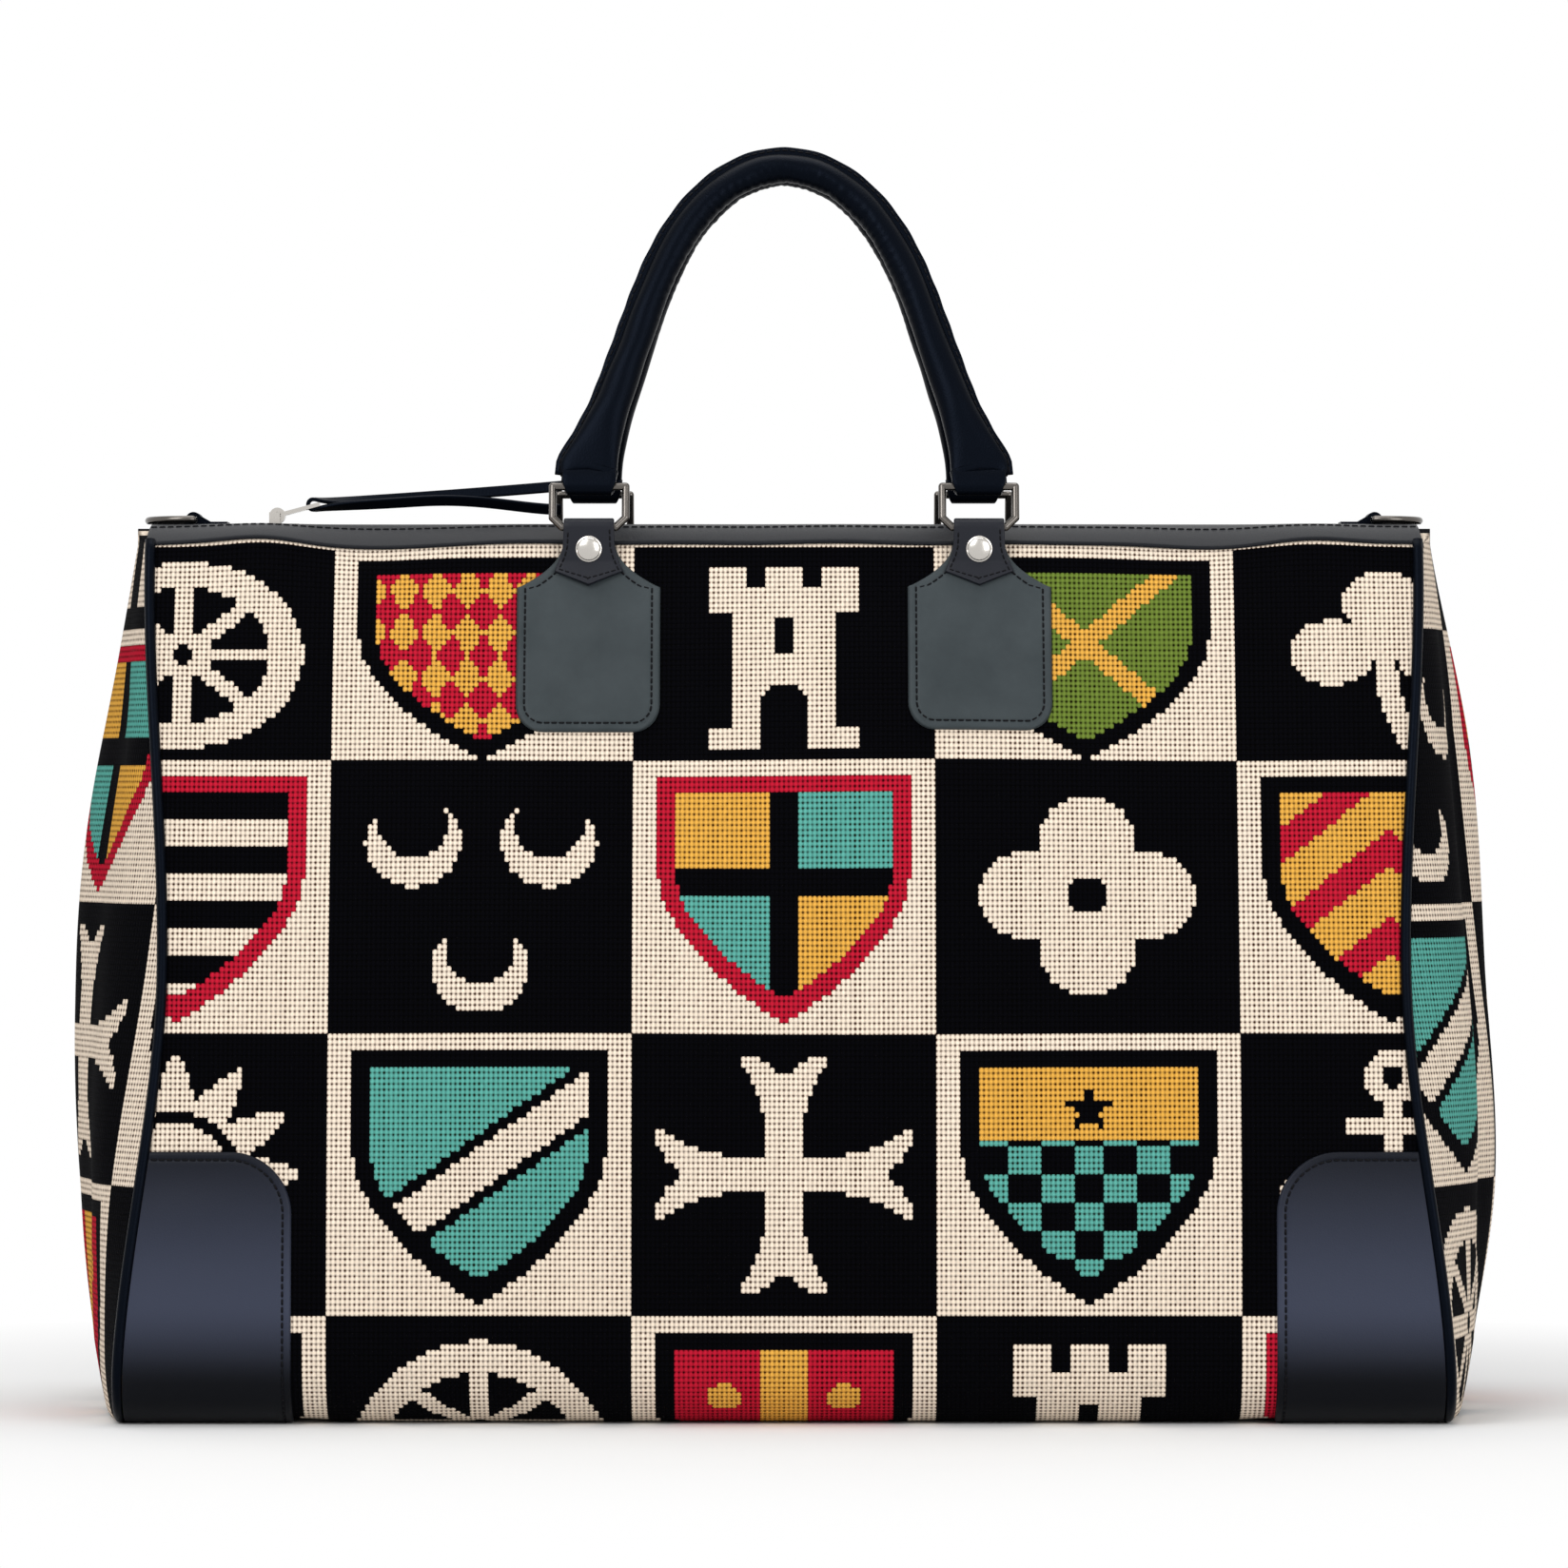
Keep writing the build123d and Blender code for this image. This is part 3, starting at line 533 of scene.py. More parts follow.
def tube_faces(rings, around):
    """Four corners for each cell of a tube, ring by ring, where the last of a ring joins the first."""
    at = np.arange(rings * around).reshape(rings, around)
    after = np.roll(at, -1, 1)
    return np.stack([at[:-1], at[1:], after[1:], after[:-1]], -1).reshape(-1, 4)


def loft(path, lead, a, b):
    """Closed rings along a path, a along the lead and b square to it, with a flat cap at each end."""
    path = np.asarray(path, float)
    way, first, second = square_to(np.gradient(path, axis=0), lead)
    a = np.broadcast_to(a, (len(path), np.shape(a)[-1]))
    b = np.broadcast_to(b, a.shape)
    points = path[:, None] + a[..., None] * first[:, None] + b[..., None] * second[:, None]
    first_ring = np.arange(a.shape[1])
    last_ring = first_ring[::-1] + a.size - len(first_ring)
    return points.reshape(-1, 3), tube_faces(*a.shape), [first_ring, last_ring]


def circle(radius, sides):
    """One ring of a round cord."""
    turn = np.arange(sides) * 2 * np.pi / sides
    return radius * np.cos(turn), radius * np.sin(turn)


def placed(tree, kind, **values):
    """A shader node that reads the object's own coordinates."""
    node = add(tree, kind, **values)
    link(tree, add(tree, "TexCoord").outputs["Object"], node.inputs[0])
    return node


def leather(name, tint, rough, grain, shine, sheen=(1, 1, 1)):
    """Finished leather: a dark dye, a soft shine and a fine grain of small cells."""
    material, tree, skin = finish_named(name, tint, rough)
    skin.inputs["Specular IOR Level"].default_value = shine
    skin.inputs["Specular Tint"].default_value = (*sheen, 1)
    cells = placed(tree, "TexVoronoi", Scale=1400.0)
    cloud = placed(tree, "TexNoise", Scale=90.0, Detail=4.0)
    height = maths(tree, "ADD", maths(tree, "MULTIPLY", cells.outputs["Distance"], 0.5), cloud.outputs[0])
    emboss(tree, skin, height, grain, 0.0004)
    return material


black_leather = leather("black_leather", dye(4, 6, 11), 0.36, 0.25, 0.06, (0.45, 0.6, 0.95))
drop = np.linspace(0, 1, 15)[1:]
line = np.linspace(top_level + 1.0, round_level, 70)
front = np.stack([seam_half(line), -(seam_depth(line) + piping_proud), line], -1)
turn = np.pi / 2 * drop
reach = corner_radius + piping_proud - (piping_proud + 0.6) * drop
level = round_level - reach * np.sin(turn)
corner = np.stack([seam_half(level), -(half_depth - corner_radius + reach * np.cos(turn)), level], -1)
front = np.concatenate([front, corner])
base = np.linspace(front[-1], front[-1] * [1, -1, 1], 14)[1:-1]
pipe_path = np.concatenate([front, base, front[::-1] * [1, -1, 1]])
for side, flip in (("right", 1), ("left", -1)):
    path = pipe_path * [flip, flip, 1]
    part = loft(path, [flip, 0, 0], *circle(piping_radius, 14))
    piece = put_parts("piping_cord_" + side, [(part, 0)], [black_leather])
    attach(piece, "bag")
    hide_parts("piping_" + side)

# Corner patches: smooth leather over each lower corner, turned under the base and sewn near the edge.
# A pressed groove holds the row of stitches; the outer side is caught in the piped seam.
patch_wide = 70.0
patch_tall = 108.0
patch_round = 25.0
patch_under = 32.0
stitch_inset = 3.4
patch_stitch = (3.1, 2.5, 0.42)
patch_left = seam_base - patch_wide
patch_dye = dye(6, 8, 14)
edge_steps = np.array([0, 0.2, 0.5, 0.9, 1.4, 2.0, 2.7, 3.1, 3.4, 3.7, 4.1, 4.8, 6.0])
level_line = round_level + panel_run * share_line


def s_of(z):
    """Distance down the cloth to a height on the panel."""
    return np.interp(z, level_line[::-1], run_line[::-1])


def edge_lift(distance, thick):
    """Height of a leather edge: rounded over its own thickness, with a groove where it is sewn."""
    near = np.clip(distance / 1.4, 0, 1)
    groove = 0.35 * np.exp(-((distance - stitch_inset) / 0.55) ** 2)
    return 0.25 + thick * np.sqrt(1 - (1 - near) ** 2) - groove


def sew(path, lead, pitch, long, thick):
    """Stitches along a path: short round threads with tapered ends, one at each whole number of pitches."""
    run = np.concatenate([[0], np.cumsum(np.linalg.norm(np.diff(path, axis=0), axis=1))])
    middles = np.arange(pitch / 2, run[-1], pitch)
    behind, spot, ahead = (np.stack([np.interp(middles + step, run, path[:, k]) for k in range(3)], -1)
                           for step in (-0.2, 0, 0.2))
    way, first, second = square_to(ahead - behind, lead)
    along = np.array([-0.5, -0.36, 0.36, 0.5]) * long
    swell = np.array([0.45, 1.0, 1.0, 0.45]) * thick
    sink = np.array([-0.5, 0.1, 0.1, -0.5]) * thick
    turn = np.arange(6) * np.pi / 3
    points = spot[:, None, None] + along[:, None, None] * way[:, None, None]
    points = points + (sink[:, None] + swell[:, None] * np.cos(turn))[None, :, :, None] * first[:, None, None]
    points = points + (swell[:, None] * np.sin(turn))[None, :, :, None] * second[:, None, None]
    faces = (np.arange(len(spot))[:, None, None] * 24 + tube_faces(4, 6)).reshape(-1, 4)
    return points.reshape(-1, 3), faces, []


def wear_and_highlight(tree, dark, light, share):
    """Colour a leather between two dyes by a share that changes over it: random wear on the tabs, a painted
    highlight on the corner patches.
    """
    rubbed = add(tree, "Mix", data_type="RGBA")
    rubbed.inputs[6].default_value = (*dark, 1)
    rubbed.inputs[7].default_value = (*light, 1)
    link(tree, share, rubbed.inputs[0])
    link(tree, rubbed.outputs[2], tree.nodes["Principled BSDF"].inputs["Base Color"])


# The corner patch leather is painted lighter in a band from 16 to 125 mm above the floor, fullest near 45 to
# 50 mm: a painted highlight standing in for a reflection on the rounded lower corner.
patch_skin = leather("patch_leather", patch_dye, 0.42, 0.12, 0.1)
tree = patch_skin.node_tree
axes = placed(tree, "SeparateXYZ")
low = add(tree, "MapRange", interpolation_type="SMOOTHSTEP", From_Min=0.016, From_Max=0.05)
high = add(tree, "MapRange", interpolation_type="SMOOTHSTEP", From_Min=0.125, From_Max=0.045)
link(tree, axes.outputs[2], low.inputs["Value"])
link(tree, axes.outputs[2], high.inputs["Value"])
wear_and_highlight(tree, patch_dye, dye(56, 61, 77), maths(tree, "MULTIPLY", low.outputs[0], high.outputs[0]))
thread, tree, skin = finish_named("waxed_thread", dye(8, 8, 12), 0.55)
skin.inputs["Specular IOR Level"].default_value = 0.1
s_top = s_of(base_level + patch_tall)
s_end = front_run + corner_run + patch_under
down = np.concatenate([edge_steps, np.linspace(6, s_end - s_top, 74)[1:]])[:, None]
near = edge_steps[None, :]
fill = np.linspace(0, 1, 44)[None, 1:]
above = np.clip(patch_round - down, 0, None)
left = patch_left + patch_round - np.sqrt(patch_round ** 2 - above ** 2)
height = cloth_place(0 * down, s_top + down)[..., 2]
right = seam_half(height) - 2.2
x = np.concatenate([left + near, left + 6 + (right - left - 6) * fill], 1)
s = s_top + down + 0 * x
across = x - patch_left
in_round = (across < patch_round) & (down < patch_round)
edge = np.minimum(np.minimum(across, down), s_end - s)
edge = np.where(in_round, patch_round - np.hypot(across - patch_round, down - patch_round), edge)
lift = edge_lift(np.clip(edge, 0, None), 1.4)
turn = np.pi / 2 * (1 - np.linspace(0, 1, 40))
line_x = np.concatenate([np.linspace(right[12, 0] - 1, patch_left + patch_round, 40),
                         patch_left + patch_round - (patch_round - stitch_inset) * np.cos(turn),
                         np.full(60, patch_left + stitch_inset)])
line_s = s_top + np.concatenate([np.full(40, stitch_inset),
                                 patch_round - (patch_round - stitch_inset) * np.sin(turn),
                                 np.linspace(patch_round, s_end - s_top - 4, 60)])
for place, flip_x, flip_y, phase in (("front_right", 1, 1, 0.0), ("front_left", -1, 1, 0.0),
                                     ("back_right", 1, -1, back_phase), ("back_left", -1, -1, back_phase)):
    sign = flip_x * flip_y
    flip = np.array([flip_y, flip_y, 1])
    points = cloth_place(sign * x, s, lift, phase) * flip
    points[..., 2] = np.clip(points[..., 2], 0.05, None)
    faces = grid_faces(*x.shape)[:, ::sign]
    row = cloth_place(sign * line_x, line_s, 1.5, phase) * flip
    piece = put_parts("patch_" + place, [((points.reshape(-1, 3), faces, []), 0),
                                         (sew(row, [0, -flip_y, -1], *patch_stitch), 1)],
                      [patch_skin, thread])
    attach(piece, "bag")
    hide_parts("corner_patch_" + place)

# Lining and base board: a plain dark cloth inside, over a stiff board that keeps the base flat.
# Neither shows while the zip is shut; both are the solids of the part with their own finish.
inner = finish_named("lining_cloth", dye(70, 58, 46), 0.9)[0]
card = finish_named("grey_board", dye(120, 112, 100), 0.9)[0]


def paint(node, material, bevel=0.0):
    """Give a solid of the part its finish, and a small rounded edge where it has one."""
    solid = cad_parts[node]
    solid.data.materials.clear()
    solid.data.materials.append(material)
    if bevel:
        edge = solid.modifiers.new("edge", "BEVEL")
        edge.width = bevel / 1000
        edge.segments = 2


paint("lining", inner)
paint("base_board", card)

# Zip along the top: a leather strip on each side, sewn to the panel's edge and sloping up to woven tapes.
# Metal teeth mesh along the middle; the slider, its pull and a leather thong lie at the left end.
strip_outer = 49.6
strip_inner = 9.0
strip_low = top_level - 1.3
strip_thick = 1.8
strip_end = 260.2
strip_roll = 2.2
seam_share = 0.5
strip_stitch = (3.4, 2.7, 0.42)


def slab(wide, thick, round_by, fill):
    """Outline of a flat strip with rounded edges, as offsets across and through, fill points on each face."""
    turn = np.linspace(0, np.pi / 2, 4)
    flat = np.linspace(wide - round_by, -wide + round_by, fill)[1:-1]
    a = np.concatenate([wide - round_by + round_by * np.cos(turn), flat,
                        -wide + round_by - round_by * np.sin(turn)])
    b = np.concatenate([thick - round_by + round_by * np.sin(turn), 0 * flat + thick,
                        thick - round_by + round_by * np.cos(turn)])
    return np.concatenate([a, -a]), np.concatenate([b, -b])


def strip_wave(x):
    """Rise and fall of a strip's outer edge: the wave of the top edge and a fine ripple of two sines."""
    return top_wave(x) + 0.5 * np.sin(x / 13) * np.sin(x / 47 + 1)


x = np.linspace(-strip_end, strip_end, 300)
mid_y = -(strip_outer + strip_inner) / 2
mid_z = (strip_low + ridge_level) / 2
rise = ridge_level - strip_low - strip_thick
lead = np.array([0, -(strip_outer - strip_inner), -rise])
half = np.linalg.norm(lead) / 2
lead = lead / (2 * half)
a, b = slab(half, strip_thick / 2, 0.8, 26)
path = np.stack([x, 0 * x + mid_y, 0 * x + mid_z], -1)
points, faces, caps = loft(path, lead, a, b)
outward = np.clip((np.abs(points[:, 1]) - strip_inner) / (strip_outer - strip_inner), 0, 1)
points[:, 2] += strip_wave(points[:, 0]) * outward + rise * (outward - outward ** strip_roll)
seam_in = np.array([0, -strip_inner - seam_share * (strip_outer - strip_inner),
                    strip_low + strip_thick + rise * (1 - seam_share ** strip_roll)])
row = np.stack([x, 0 * x, 0 * x + 0.1], -1) + seam_in
row[:, 2] += seam_share * strip_wave(x)
strip_skin = leather("strip_leather", dye(19, 21, 26), 0.45, 0.25, 0.12)
for side, flip in (("front", 1), ("back", -1)):
    turn = np.array([flip, flip, 1])
    seam = sew(row * turn, [0, 0, 1], *strip_stitch)
    strip = (points * turn, faces, caps)
    piece = put_parts("zip_strip_" + side, [(strip, 0), (seam, 1)], [strip_skin, thread])
    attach(piece, "bag")
    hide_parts("zip_binding_" + side)
tape_cloth, tree, skin = finish_named("zip_tape_cloth", dye(22, 22, 26), 0.85)
weave = placed(tree, "TexWave", Scale=700.0, Distortion=0.4)
emboss(tree, skin, weave.outputs["Fac"], 0.3, 0.0002)


def metal(name, tint, rough):
    """Plated metal with faint handling marks."""
    material, tree, skin = finish_named(name, tint, rough)
    skin.inputs["Metallic"].default_value = 1.0
    marks = placed(tree, "TexNoise", Scale=260.0, Detail=3.0)
    dull = add(tree, "MapRange", To_Min=rough - 0.05, To_Max=rough + 0.07)
    link(tree, marks.outputs[0], dull.inputs["Value"])
    link(tree, dull.outputs[0], skin.inputs["Roughness"])
    return material


nickel = metal("nickel_plate", dye(196, 192, 186), 0.2)
zip_metal = metal("zip_metal", dye(112, 109, 104), 0.45)
# The rings are the same nickel as the rivets, given a darker tint: a painted dark reflection of the
# surroundings.
ring_nickel_dark_reflection = metal("ring_nickel_dark_reflection", dye(96, 92, 88), 0.22)
for side in ("front", "back"):
    paint("zip_tape_" + side, tape_cloth)
    paint("zip_teeth_" + side, zip_metal)
paint("zip_stop", zip_metal, 0.3)
paint("zip_slider", nickel)
paint("zip_pull", nickel, 0.3)
thong_x = -195.1
thong_z = 372.7
thong_long = 103.0
thong_half = 2.3
thong_thick = 1.6
part_way = np.linspace(1, 0.01, 70)
close = np.exp(-part_way / 0.06)
apart = np.clip((part_way - 0.42) / 0.58, 0, 1)
apart = apart ** 2 * (3 - 2 * apart)
climb = 6.8 * part_way ** 1.3
side_step = 1.25 * (1 - np.exp(-part_way / 0.1))
over = np.stack([thong_x + thong_long * part_way, side_step, thong_z + 0.9 + 1.45 * close + climb], -1)
under_z = thong_z - 0.9 - 1.45 * close + climb * (1 - apart) - 1.2 * apart
under = np.stack([thong_x + thong_long * part_way, -side_step, under_z], -1)
fold_turn = np.linspace(np.pi / 2, 3 * np.pi / 2, 13)
fold_high = over[-1, 2] - thong_z
bend = np.stack([thong_x + fold_high * 0.9 * np.cos(fold_turn), 0 * fold_turn,
                 thong_z + fold_high * np.sin(fold_turn)], -1)
thong_path = np.concatenate([over, bend, under[::-1]])
twist = 1.2 * (1 - np.exp(-part_way / 0.16))
twist = np.concatenate([twist, 0 * fold_turn, -twist[::-1]])
lead = np.stack([0 * twist, np.cos(twist), np.sin(twist)], -1)
a, b = slab(thong_half, thong_thick / 2, 0.5, 6)
piece = put_parts("thong_strap", [(loft(thong_path, lead, a, b), 0)], [black_leather])
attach(piece, "pull")
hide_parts("zip_thong")

# Handle tabs: a leather patch sewn on the panel, narrowing to a neck that folds over the ring's lower bar.
# The neck's end comes down in front as a pointed tongue, held with a domed rivet.
tab_centre = 79.5
tab_top = top_level + 0.3
tab_low = tab_top - 77.75
tab_straight = 58.5
shoulder_rise = 20.0
shoulder_power = 2.2
tab_half = 29.2
tab_round = 11.0
neck_half = 10.5
bar_y = -52.25
bar_z = top_level + 6.0
ring_bore = 1.85
tab_leather = 1.8
tab_stitch = (3.0, 2.4, 0.4)
tongue_stitch = (2.6, 2.1, 0.34)


def tab_half_at(z):
    """Half width of a tab: rounded lower corners, straight sides, a hollow slope up to the neck."""
    low = np.clip(tab_low + tab_round - z, 0, tab_round)
    corner = tab_half - tab_round + np.sqrt(tab_round ** 2 - low ** 2)
    past = np.clip((z - tab_low - tab_straight) / shoulder_rise, 0, 1)
    return np.minimum(corner, neck_half + (tab_half - neck_half) * (1 - past) ** shoulder_power)


def shoulder_slope(past):
    """How fast the shoulder's half width falls as it rises: the derivative of its power curve."""
    return shoulder_power * (tab_half - neck_half) / shoulder_rise * (1 - past) ** (shoulder_power - 1)


rise = np.concatenate([edge_steps, np.arange(8, 56, 1.5), np.linspace(56, tab_top - tab_low, 36)])
z = (tab_low + rise)[:, None]
wide = tab_half_at(z)
inset = np.concatenate([edge_steps[:-1], [5.4]])
fill = np.linspace(-1, 1, 34)[None, 1:-1]
x = np.concatenate([-wide + inset, fill * (wide - 5.4), (wide - inset)[:, ::-1]], 1)
past = np.clip((z - tab_low - tab_straight) / shoulder_rise, 0, 1)
lean = 1 / np.hypot(1, np.where(past > 0, shoulder_slope(past), 0))
edge = np.minimum((wide - np.abs(x)) * lean, z - tab_low)
lift = edge_lift(np.clip(edge, 0, None), tab_leather - 0.05)
tab_s = s_of(z) + 0 * x
half_turn = np.linspace(0, np.pi / 2, 12)
up = np.linspace(tab_low + tab_round, tab_low + tab_straight - 1, 24)
slant_share = np.linspace(0.02, 0.7, 14)
slant = tab_low + tab_straight + shoulder_rise * slant_share
side_x = np.concatenate([np.linspace(0, tab_half - tab_round, 14),
                         tab_half - tab_round + (tab_round - stitch_inset) * np.sin(half_turn),
                         0 * up + tab_half - stitch_inset,
                         tab_half_at(slant) - stitch_inset * np.hypot(1, shoulder_slope(slant_share))])
side_z = np.concatenate([np.full(14, tab_low + stitch_inset),
                         tab_low + tab_round - (tab_round - stitch_inset) * np.cos(half_turn), up, slant])
line_x = np.concatenate([-side_x[::-1], side_x[1:]])
line_z = np.concatenate([side_z[::-1], side_z[1:]])
bend_z = top_level - 8.75
tip_z = bar_z - 23.6
bar_turn = np.linspace(0, np.pi, 15)
fold_mid = ring_bore + tab_leather / 2
tip_y = -(panel_half((tip_z - round_level) / panel_run, 0) + 2.6 + tab_leather / 2)
strap_y = np.concatenate([np.full(8, bar_y + fold_mid), bar_y + fold_mid * np.cos(bar_turn),
                          np.full(10, bar_y - fold_mid), np.linspace(bar_y - fold_mid, tip_y, 16)[1:]])
strap_z = np.concatenate([np.linspace(tab_top - 4, bar_z - 0.4, 8), bar_z + fold_mid * np.sin(bar_turn),
                          np.linspace(bar_z - 0.6, bend_z, 10), np.linspace(bend_z, tip_z, 16)[1:]])
strap_path = np.stack([0 * strap_y, strap_y, strap_z], -1)
tongue_drop = np.array([-23.6, -18.2, -12, -8, 0])
tongue_half = np.array([0.2, 14, 11.6, 10.6, 10.3])
front = np.arange(len(strap_z)) > 22
narrow = np.where(front, np.interp(strap_z - bar_z, tongue_drop, tongue_half) / neck_half, 0.98)[:, None]
seam_drop = np.concatenate([np.linspace(-2, -17.2, 14), np.linspace(-17.8, -21.4, 8)])
seam_half_x = np.clip(np.interp(seam_drop, tongue_drop + [2.2, 0.9, 0, 0, 0], tongue_half) - 1.9, 0, None)
seam_y = np.interp(seam_drop, [tip_z - bar_z, bend_z - bar_z], [tip_y, bar_y - fold_mid]) - tab_leather / 2
tongue_row = np.stack([np.concatenate([-seam_half_x, seam_half_x[::-1]]),
                       np.concatenate([seam_y, seam_y[::-1]]),
                       bar_z + np.concatenate([seam_drop, seam_drop[::-1]])], -1)
a, b = slab(neck_half, tab_leather / 2, 0.7, 10)
tab_skin = leather("tab_leather", dye(54, 61, 64), 0.5, 0.12, 0.12)
tree = tab_skin.node_tree
wear = placed(tree, "TexNoise", Scale=38.0, Detail=5.0, Roughness=0.6)
wear_and_highlight(tree, dye(38, 45, 48), dye(68, 75, 78), wear.outputs[0])
tongue_skin = leather("tongue_leather", dye(27, 29, 36), 0.42, 0.12, 0.16)
rivet_radius = 5.4
rivet_dome = 1.5
rivet_z = bar_z - 9.0
rivet_face = bar_y - ring_bore - tab_leather
rivet_back = -(panel_half((rivet_z - round_level) / panel_run, 0) - 1.8)
dome_turn = np.linspace(0, 0.49 * np.pi, 16)
rivet_rings = np.concatenate([[1.5, 1.5, rivet_radius, rivet_radius, rivet_radius - 0.25, rivet_radius - 0.5],
                              (rivet_radius - 0.6) * np.cos(dome_turn)])
rivet_y = np.concatenate([[rivet_back], rivet_face - np.array([-0.3, -0.2, 0.35, 0.55, 0.5]),
                          rivet_face - 0.52 - rivet_dome * np.sin(dome_turn)])
rivet_path = np.stack([0 * rivet_y, rivet_y, 0 * rivet_y + rivet_z], -1)
circle_pair = np.stack(circle(1.0, 40))[:, None]
for end, flip, phase in (("front", 1, 0.0), ("back", -1, back_phase)):
    for side, centre in (("left", -tab_centre), ("right", tab_centre)):
        turn = np.array([flip, flip, 1])
        middle = centre * flip
        sheet = cloth_place(middle + x, tab_s, lift, phase)
        strap, strap_faces, caps = loft(strap_path + [middle, 0, 0], [1, 0, 0], a * narrow, b)
        row = cloth_place(middle + line_x, s_of(line_z), 1.8, phase)
        seam = sew(row * turn, [0, -flip, 0], *tab_stitch)
        tongue_seam = sew((tongue_row + [middle, 0, 0]) * turn, [0, -flip, 0], *tongue_stitch)
        faces = grid_faces(*x.shape)[:, ::-1]
        piece = put_parts("tab_" + end + "_" + side,
                          [(((sheet * turn).reshape(-1, 3), faces, []), 0),
                           ((strap * turn, strap_faces, caps), 2), (seam, 1), (tongue_seam, 1)],
                          [tab_skin, thread, tongue_skin])
        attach(piece, "bag")
        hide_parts("handle_tab_" + end + "_" + side)
        head = loft(rivet_path + [middle, 0, 0], [1, 0, 0], *(rivet_rings[:, None] * circle_pair))
        piece = put_parts("rivet_" + end + "_" + side, [((head[0] * turn, *head[1:]), 0)], [nickel])
        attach(piece, "bag")
        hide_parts("tab_rivet_" + end + "_" + side)
        # The ring takes the darker nickel tint, a painted dark reflection.
        paint("handle_ring_" + end + "_" + side, ring_nickel_dark_reflection)

# Handles: leather rolled round a cord and sewn along the outer edge, leaving a stitched rib.
# Each end flattens, spreads into a pointed wing and folds round the top bar of its ring.
handle_rise = 138.7
handle_radius = 6.0
rib_reach = 9.2
rib_thick = 2.4
flare_run = 20.0
flare_wide = 6.0
tucked_in = 5.0
handle_stitch = (3.2, 2.6, 0.36)
top_bar = bar_z + 17.4
lean_angle = np.radians(16.27626)
arch_x = np.array([1, 0.945, 0.866, 0.778, 0.705, 0.6, 0.455, 0.303, 0.151, 0]) * tab_centre
arch_z = np.array([0.06, 0.16, 0.28, 0.427, 0.565, 0.7, 0.839, 0.935, 0.984, 1]) * handle_rise
knot_x = np.concatenate([arch_x, -arch_x[-2::-1]])
knot_z = np.concatenate([arch_z, arch_z[-2::-1]])
knot = np.concatenate([[0], np.cumsum(np.hypot(np.diff(knot_x), np.diff(knot_z)))])
arch_length = knot[-1]
knot = 2 * knot / arch_length - 1


def powers(t, first):
    """Every second power of t, from the first up to the tenth, one in each column."""
    return np.stack([t ** k for k in range(first, 11, 2)], -1)


odd_fit = np.linalg.lstsq(powers(knot, 1), knot_x, rcond=None)[0]
even_fit = np.linalg.lstsq(powers(knot, 0), knot_z, rcond=None)[0]


def arch(share):
    """Centre line of an upright handle: odd powers of the share across and even powers up, as fitted."""
    t = np.clip(2 * share - 1, -1, 1)
    past = (2 * share - 1 - t) * arch_length / 2
    x = powers(t, 1) @ odd_fit - 0.1 * past
    return np.stack([x, 0 * x + bar_y, top_bar + powers(t, 0) @ even_fit - 0.95 * np.abs(past)], -1)


def tilt(points):
    """Lean a handle inwards about the lower bar of its rings."""
    y = points[:, 1] - bar_y
    z = points[:, 2] - bar_z
    return np.stack([points[:, 0], bar_y + y * np.cos(lean_angle) + z * np.sin(lean_angle),
                     bar_z - y * np.sin(lean_angle) + z * np.cos(lean_angle)], -1)


def flare_at(run):
    """How far a handle's end is spread: 1 at the ring, falling off along the roll as an exponential."""
    return np.exp(-(np.clip(run, 0, None) / flare_run) ** 0.95)


end_share = tucked_in / arch_length
share = np.linspace(-end_share, 1 + end_share, 440)
run = share[:, None] * arch_length
from_end = np.minimum(run, arch_length - run)
flare = flare_at(from_end)
flat = np.exp(-(np.clip(from_end, 0, None) / 17) ** 1.6)
tuck = np.clip(-from_end / tucked_in, 0, 1) ** 2
thick = handle_radius - 2.35 * flat - 0.3 * tuck
wide = handle_radius + flare_wide * flare - 0.6 * tuck
turn = (np.arange(32) * 2 * np.pi / 32)[None, :]
square = 1 - 0.5 * flat
across = np.sign(np.cos(turn)) * np.abs(np.cos(turn)) ** square
upward = np.sign(np.sin(turn)) * np.abs(np.sin(turn)) ** square
under = np.clip(-np.sin(turn), 0, 1)
inner = 2.2 * under * (1 - 0.75 * under) * np.clip(1 - ((share[:, None] - 0.5) / 0.33) ** 2, 0, 1)
crease = 0.17 * np.sin(run * 1.83 + 2.9 * np.sin(run / 8.3) + 1.4 * turn)
crease = crease + 0.15 * np.sin(run * 1.21 + 2.3 * np.sin(run / 13.7) - 2 * turn)
crease = inner * (crease + 0.12 * np.sin(run * 0.57 + 1.9 * np.sin(run / 19)))
crease = crease + 0.14 * np.sin(run / 5.1 + 2 * np.sin(run / 23) + 2 * turn) * (1 - flare)
points, faces, caps = loft(arch(share), [0, 1, 0], (thick + crease) * across, (wide + crease) * upward)
lip = np.clip((3 - from_end) / 8, 0, 1) ** 1.5 * (1 - np.abs(upward) ** 2)
points[:, 2] += 3.4 * lip.ravel()
body = (points, faces, caps)
along = np.linspace(-4.5 / arch_length, 1 + 4.5 / arch_length, 240)
rib_path = arch(along)
outward = square_to(np.gradient(rib_path, axis=0), [0, 1, 0])[2]
end_run = np.minimum(along, 1 - along) * arch_length
rim = handle_radius + flare_wide * flare_at(end_run)
reach = np.maximum(rib_reach, rim + 1.8) + 0.12 * np.sin(end_run / 2.3)
middle = rib_path + outward * ((reach + 4.0) / 2)[:, None]
a, b = slab(1.0, rib_thick / 2, 0.5, 8)
half_rib = ((reach - 4.0) / 2)[:, None]
a = np.where(np.abs(a) > 0.5, np.sign(a) * (half_rib - 1 + np.abs(a)), a * half_rib)
rib = loft(middle, [0, 1, 0], -b, a)
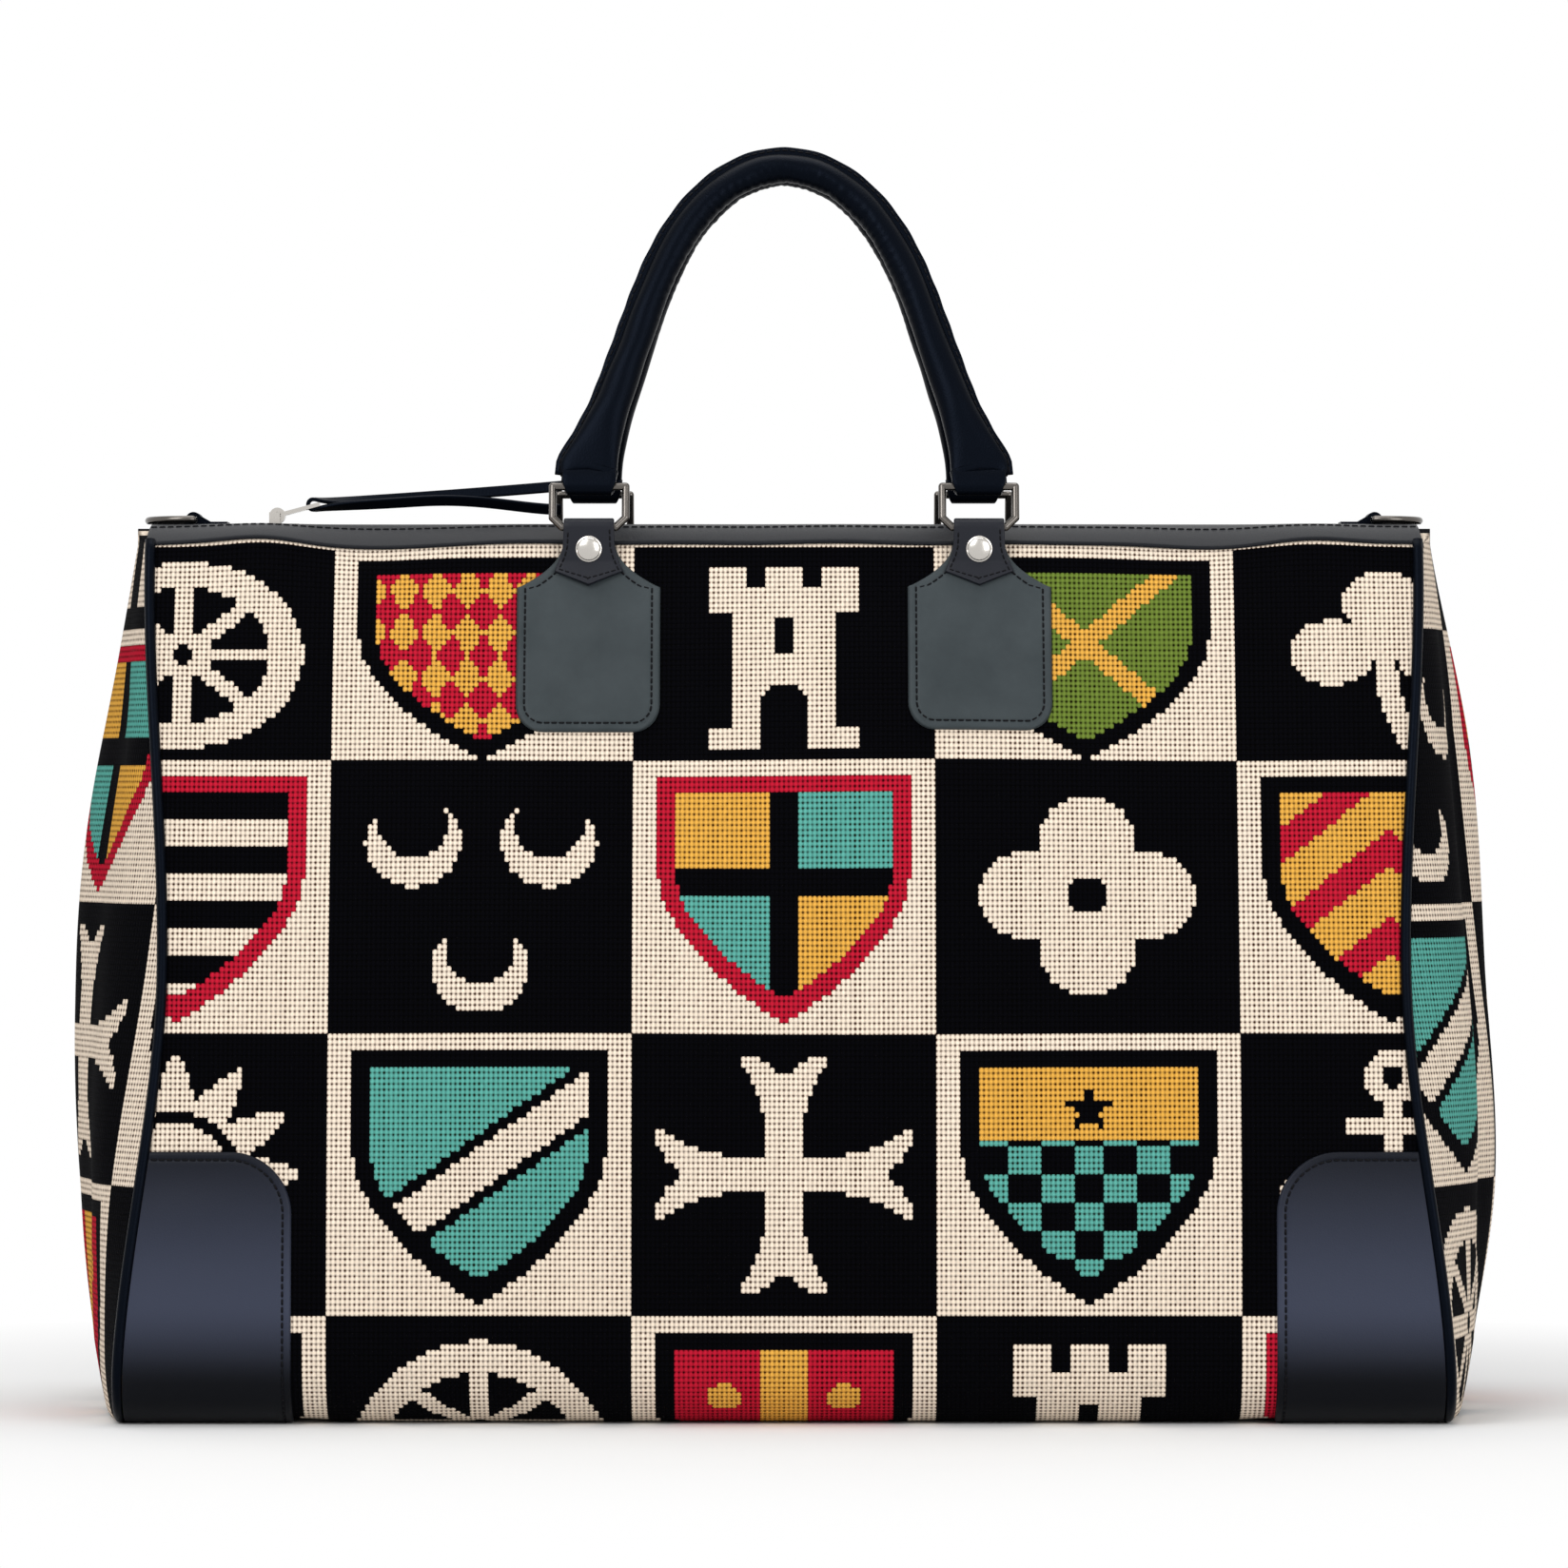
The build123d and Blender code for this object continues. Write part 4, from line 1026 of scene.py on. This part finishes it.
seam_path = rib_path + outward * (reach - 1.6)[:, None]
loops = []
loop_turn = np.linspace(0, np.pi, 15)
rise = np.linspace(arch_z[0] + 4, 0.3, 11)
sink = 2.75 - 1.6 * np.clip((rise - 3) / 6, 0, 1) ** 1.5
loop_y = np.concatenate([-sink, -2.75 * np.cos(loop_turn), sink[::-1]])
loop_z = np.concatenate([rise, -2.75 * np.sin(loop_turn), rise[::-1]])
a, b = slab(11.0, 0.9, 0.6, 12)
a = a * (1 - 0.22 * np.clip((2.0 - loop_z) / 5.65, 0, 1)[:, None] ** 1.6)
for centre in (-tab_centre, tab_centre):
    loop_path = np.stack([0 * loop_y + centre, bar_y + loop_y, top_bar + loop_z], -1)
    loops.append(loft(loop_path, [1, 0, 0], a, b))
for end, flip in (("front", 1), ("back", -1)):
    turn_round = np.array([flip, flip, 1])
    parts = [((tilt(points) * turn_round, faces, caps), 0) for points, faces, caps in [body, rib] + loops]
    for face in (-1, 1):
        row = tilt(seam_path + [0, face * rib_thick / 2, 0]) * turn_round
        parts.append((sew(row, [0, face * flip, 0], *handle_stitch), 1))
    piece = put_parts("handle_roll_" + end, parts, [black_leather, thread])
    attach(piece, end + "_handle")
    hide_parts("handle_" + end)

# Ends of the zip: a D-ring for a shoulder strap in a short leather loop.
# Plated wire in the darker ring tint, a painted dark reflection; the loop is sewn down to the end of the zip.
for side in ("left", "right"):
    paint("d_ring_" + side, ring_nickel_dark_reflection)
    paint("d_ring_loop_" + side, black_leather, 0.4)

# The stage: a pale floor that fades into a white surround, under three soft lamps.
# The camera stands in front, level with the middle of the bag, and takes in the photograph's frame.


def seen_plainly(tree):
    """1 for a ray from the camera, off a shine or through glass, as the greatest of the three; or else 0."""
    rays = add(tree, "LightPath")
    seen = maths(tree, "MAXIMUM", rays.outputs["Is Camera Ray"], rays.outputs["Is Glossy Ray"])
    return maths(tree, "MAXIMUM", seen, rays.outputs["Is Transmission Ray"])


far = 30
floor_mesh = bpy.data.meshes.new("floor")
floor_mesh.from_pydata([(-far, -far, 0), (far, -far, 0), (far, far, 0), (-far, far, 0)], [], [(0, 1, 2, 3)])
floor = bpy.data.objects.new("floor", floor_mesh)
bpy.context.scene.collection.objects.link(floor)
ground, tree, skin = finish_named("pale_floor", (0.9, 0.9, 0.9), 0.9)
white = add(tree, "Emission", Strength=1.0)
white.inputs[0].default_value = (1, 1, 1, 1)
away = placed(tree, "VectorMath", operation="LENGTH")
fade = add(tree, "MapRange", From_Min=0.3, From_Max=0.62)
link(tree, away.outputs["Value"], fade.inputs["Value"])
blend = add(tree, "MixShader")
link(tree, maths(tree, "MULTIPLY", fade.outputs[0], seen_plainly(tree)), blend.inputs[0])
link(tree, skin.outputs[0], blend.inputs[1])
link(tree, white.outputs[0], blend.inputs[2])
link(tree, blend.outputs[0], tree.nodes["Material Output"].inputs["Surface"])
floor.data.materials.append(ground)

world = bpy.data.worlds.new("studio")
bpy.context.scene.world = world
world.use_nodes = True
tree = world.node_tree
back = tree.nodes["Background"]
back.inputs["Color"].default_value = (1, 1, 1, 1)
strength = maths(tree, "ADD", 0.35, maths(tree, "MULTIPLY", seen_plainly(tree), 0.65))
link(tree, strength, back.inputs["Strength"])

for name, place, aim, size, power in (("key", (-1.3, -2.2, 2.0), (0, 0, 0.25), 1.6, 42),
                                      ("fill", (1.6, -2.2, 1.0), (0, 0, 0.25), 1.6, 26),
                                      ("over", (0, 0.2, 2.6), (0, 0, 0.2), 1.8, 26)):
    lamp = bpy.data.lights.new(name, "AREA")
    lamp.shape = "SQUARE"
    lamp.size = size
    lamp.energy = power
    holder = bpy.data.objects.new(name, lamp)
    holder.location = place
    way = np.array(aim) - np.array(place)
    yaw = np.arctan2(way[1], way[0]) - np.pi / 2
    pitch = np.arctan2(way[2], np.hypot(way[0], way[1])) + np.pi / 2
    holder.rotation_euler = (pitch, 0, yaw)
    bpy.context.scene.collection.objects.link(holder)

photo_pixels = 1648
pixel_mm = 0.38
distance = 3.2
camera_level = 0.257
view_wide = photo_pixels * pixel_mm / 1000
lens = bpy.data.cameras.new("camera")
lens.sensor_width = 36.0
lens.lens = lens.sensor_width * distance / view_wide
lens.clip_end = 100
camera = bpy.data.objects.new("camera", lens)
camera.location = (0.0, -(half_depth / 1000 + distance), camera_level)
camera.rotation_euler = (np.pi / 2, 0, 0)
bpy.context.scene.collection.objects.link(camera)
bpy.context.scene.camera = camera
bpy.context.scene.view_settings.view_transform = "Standard"
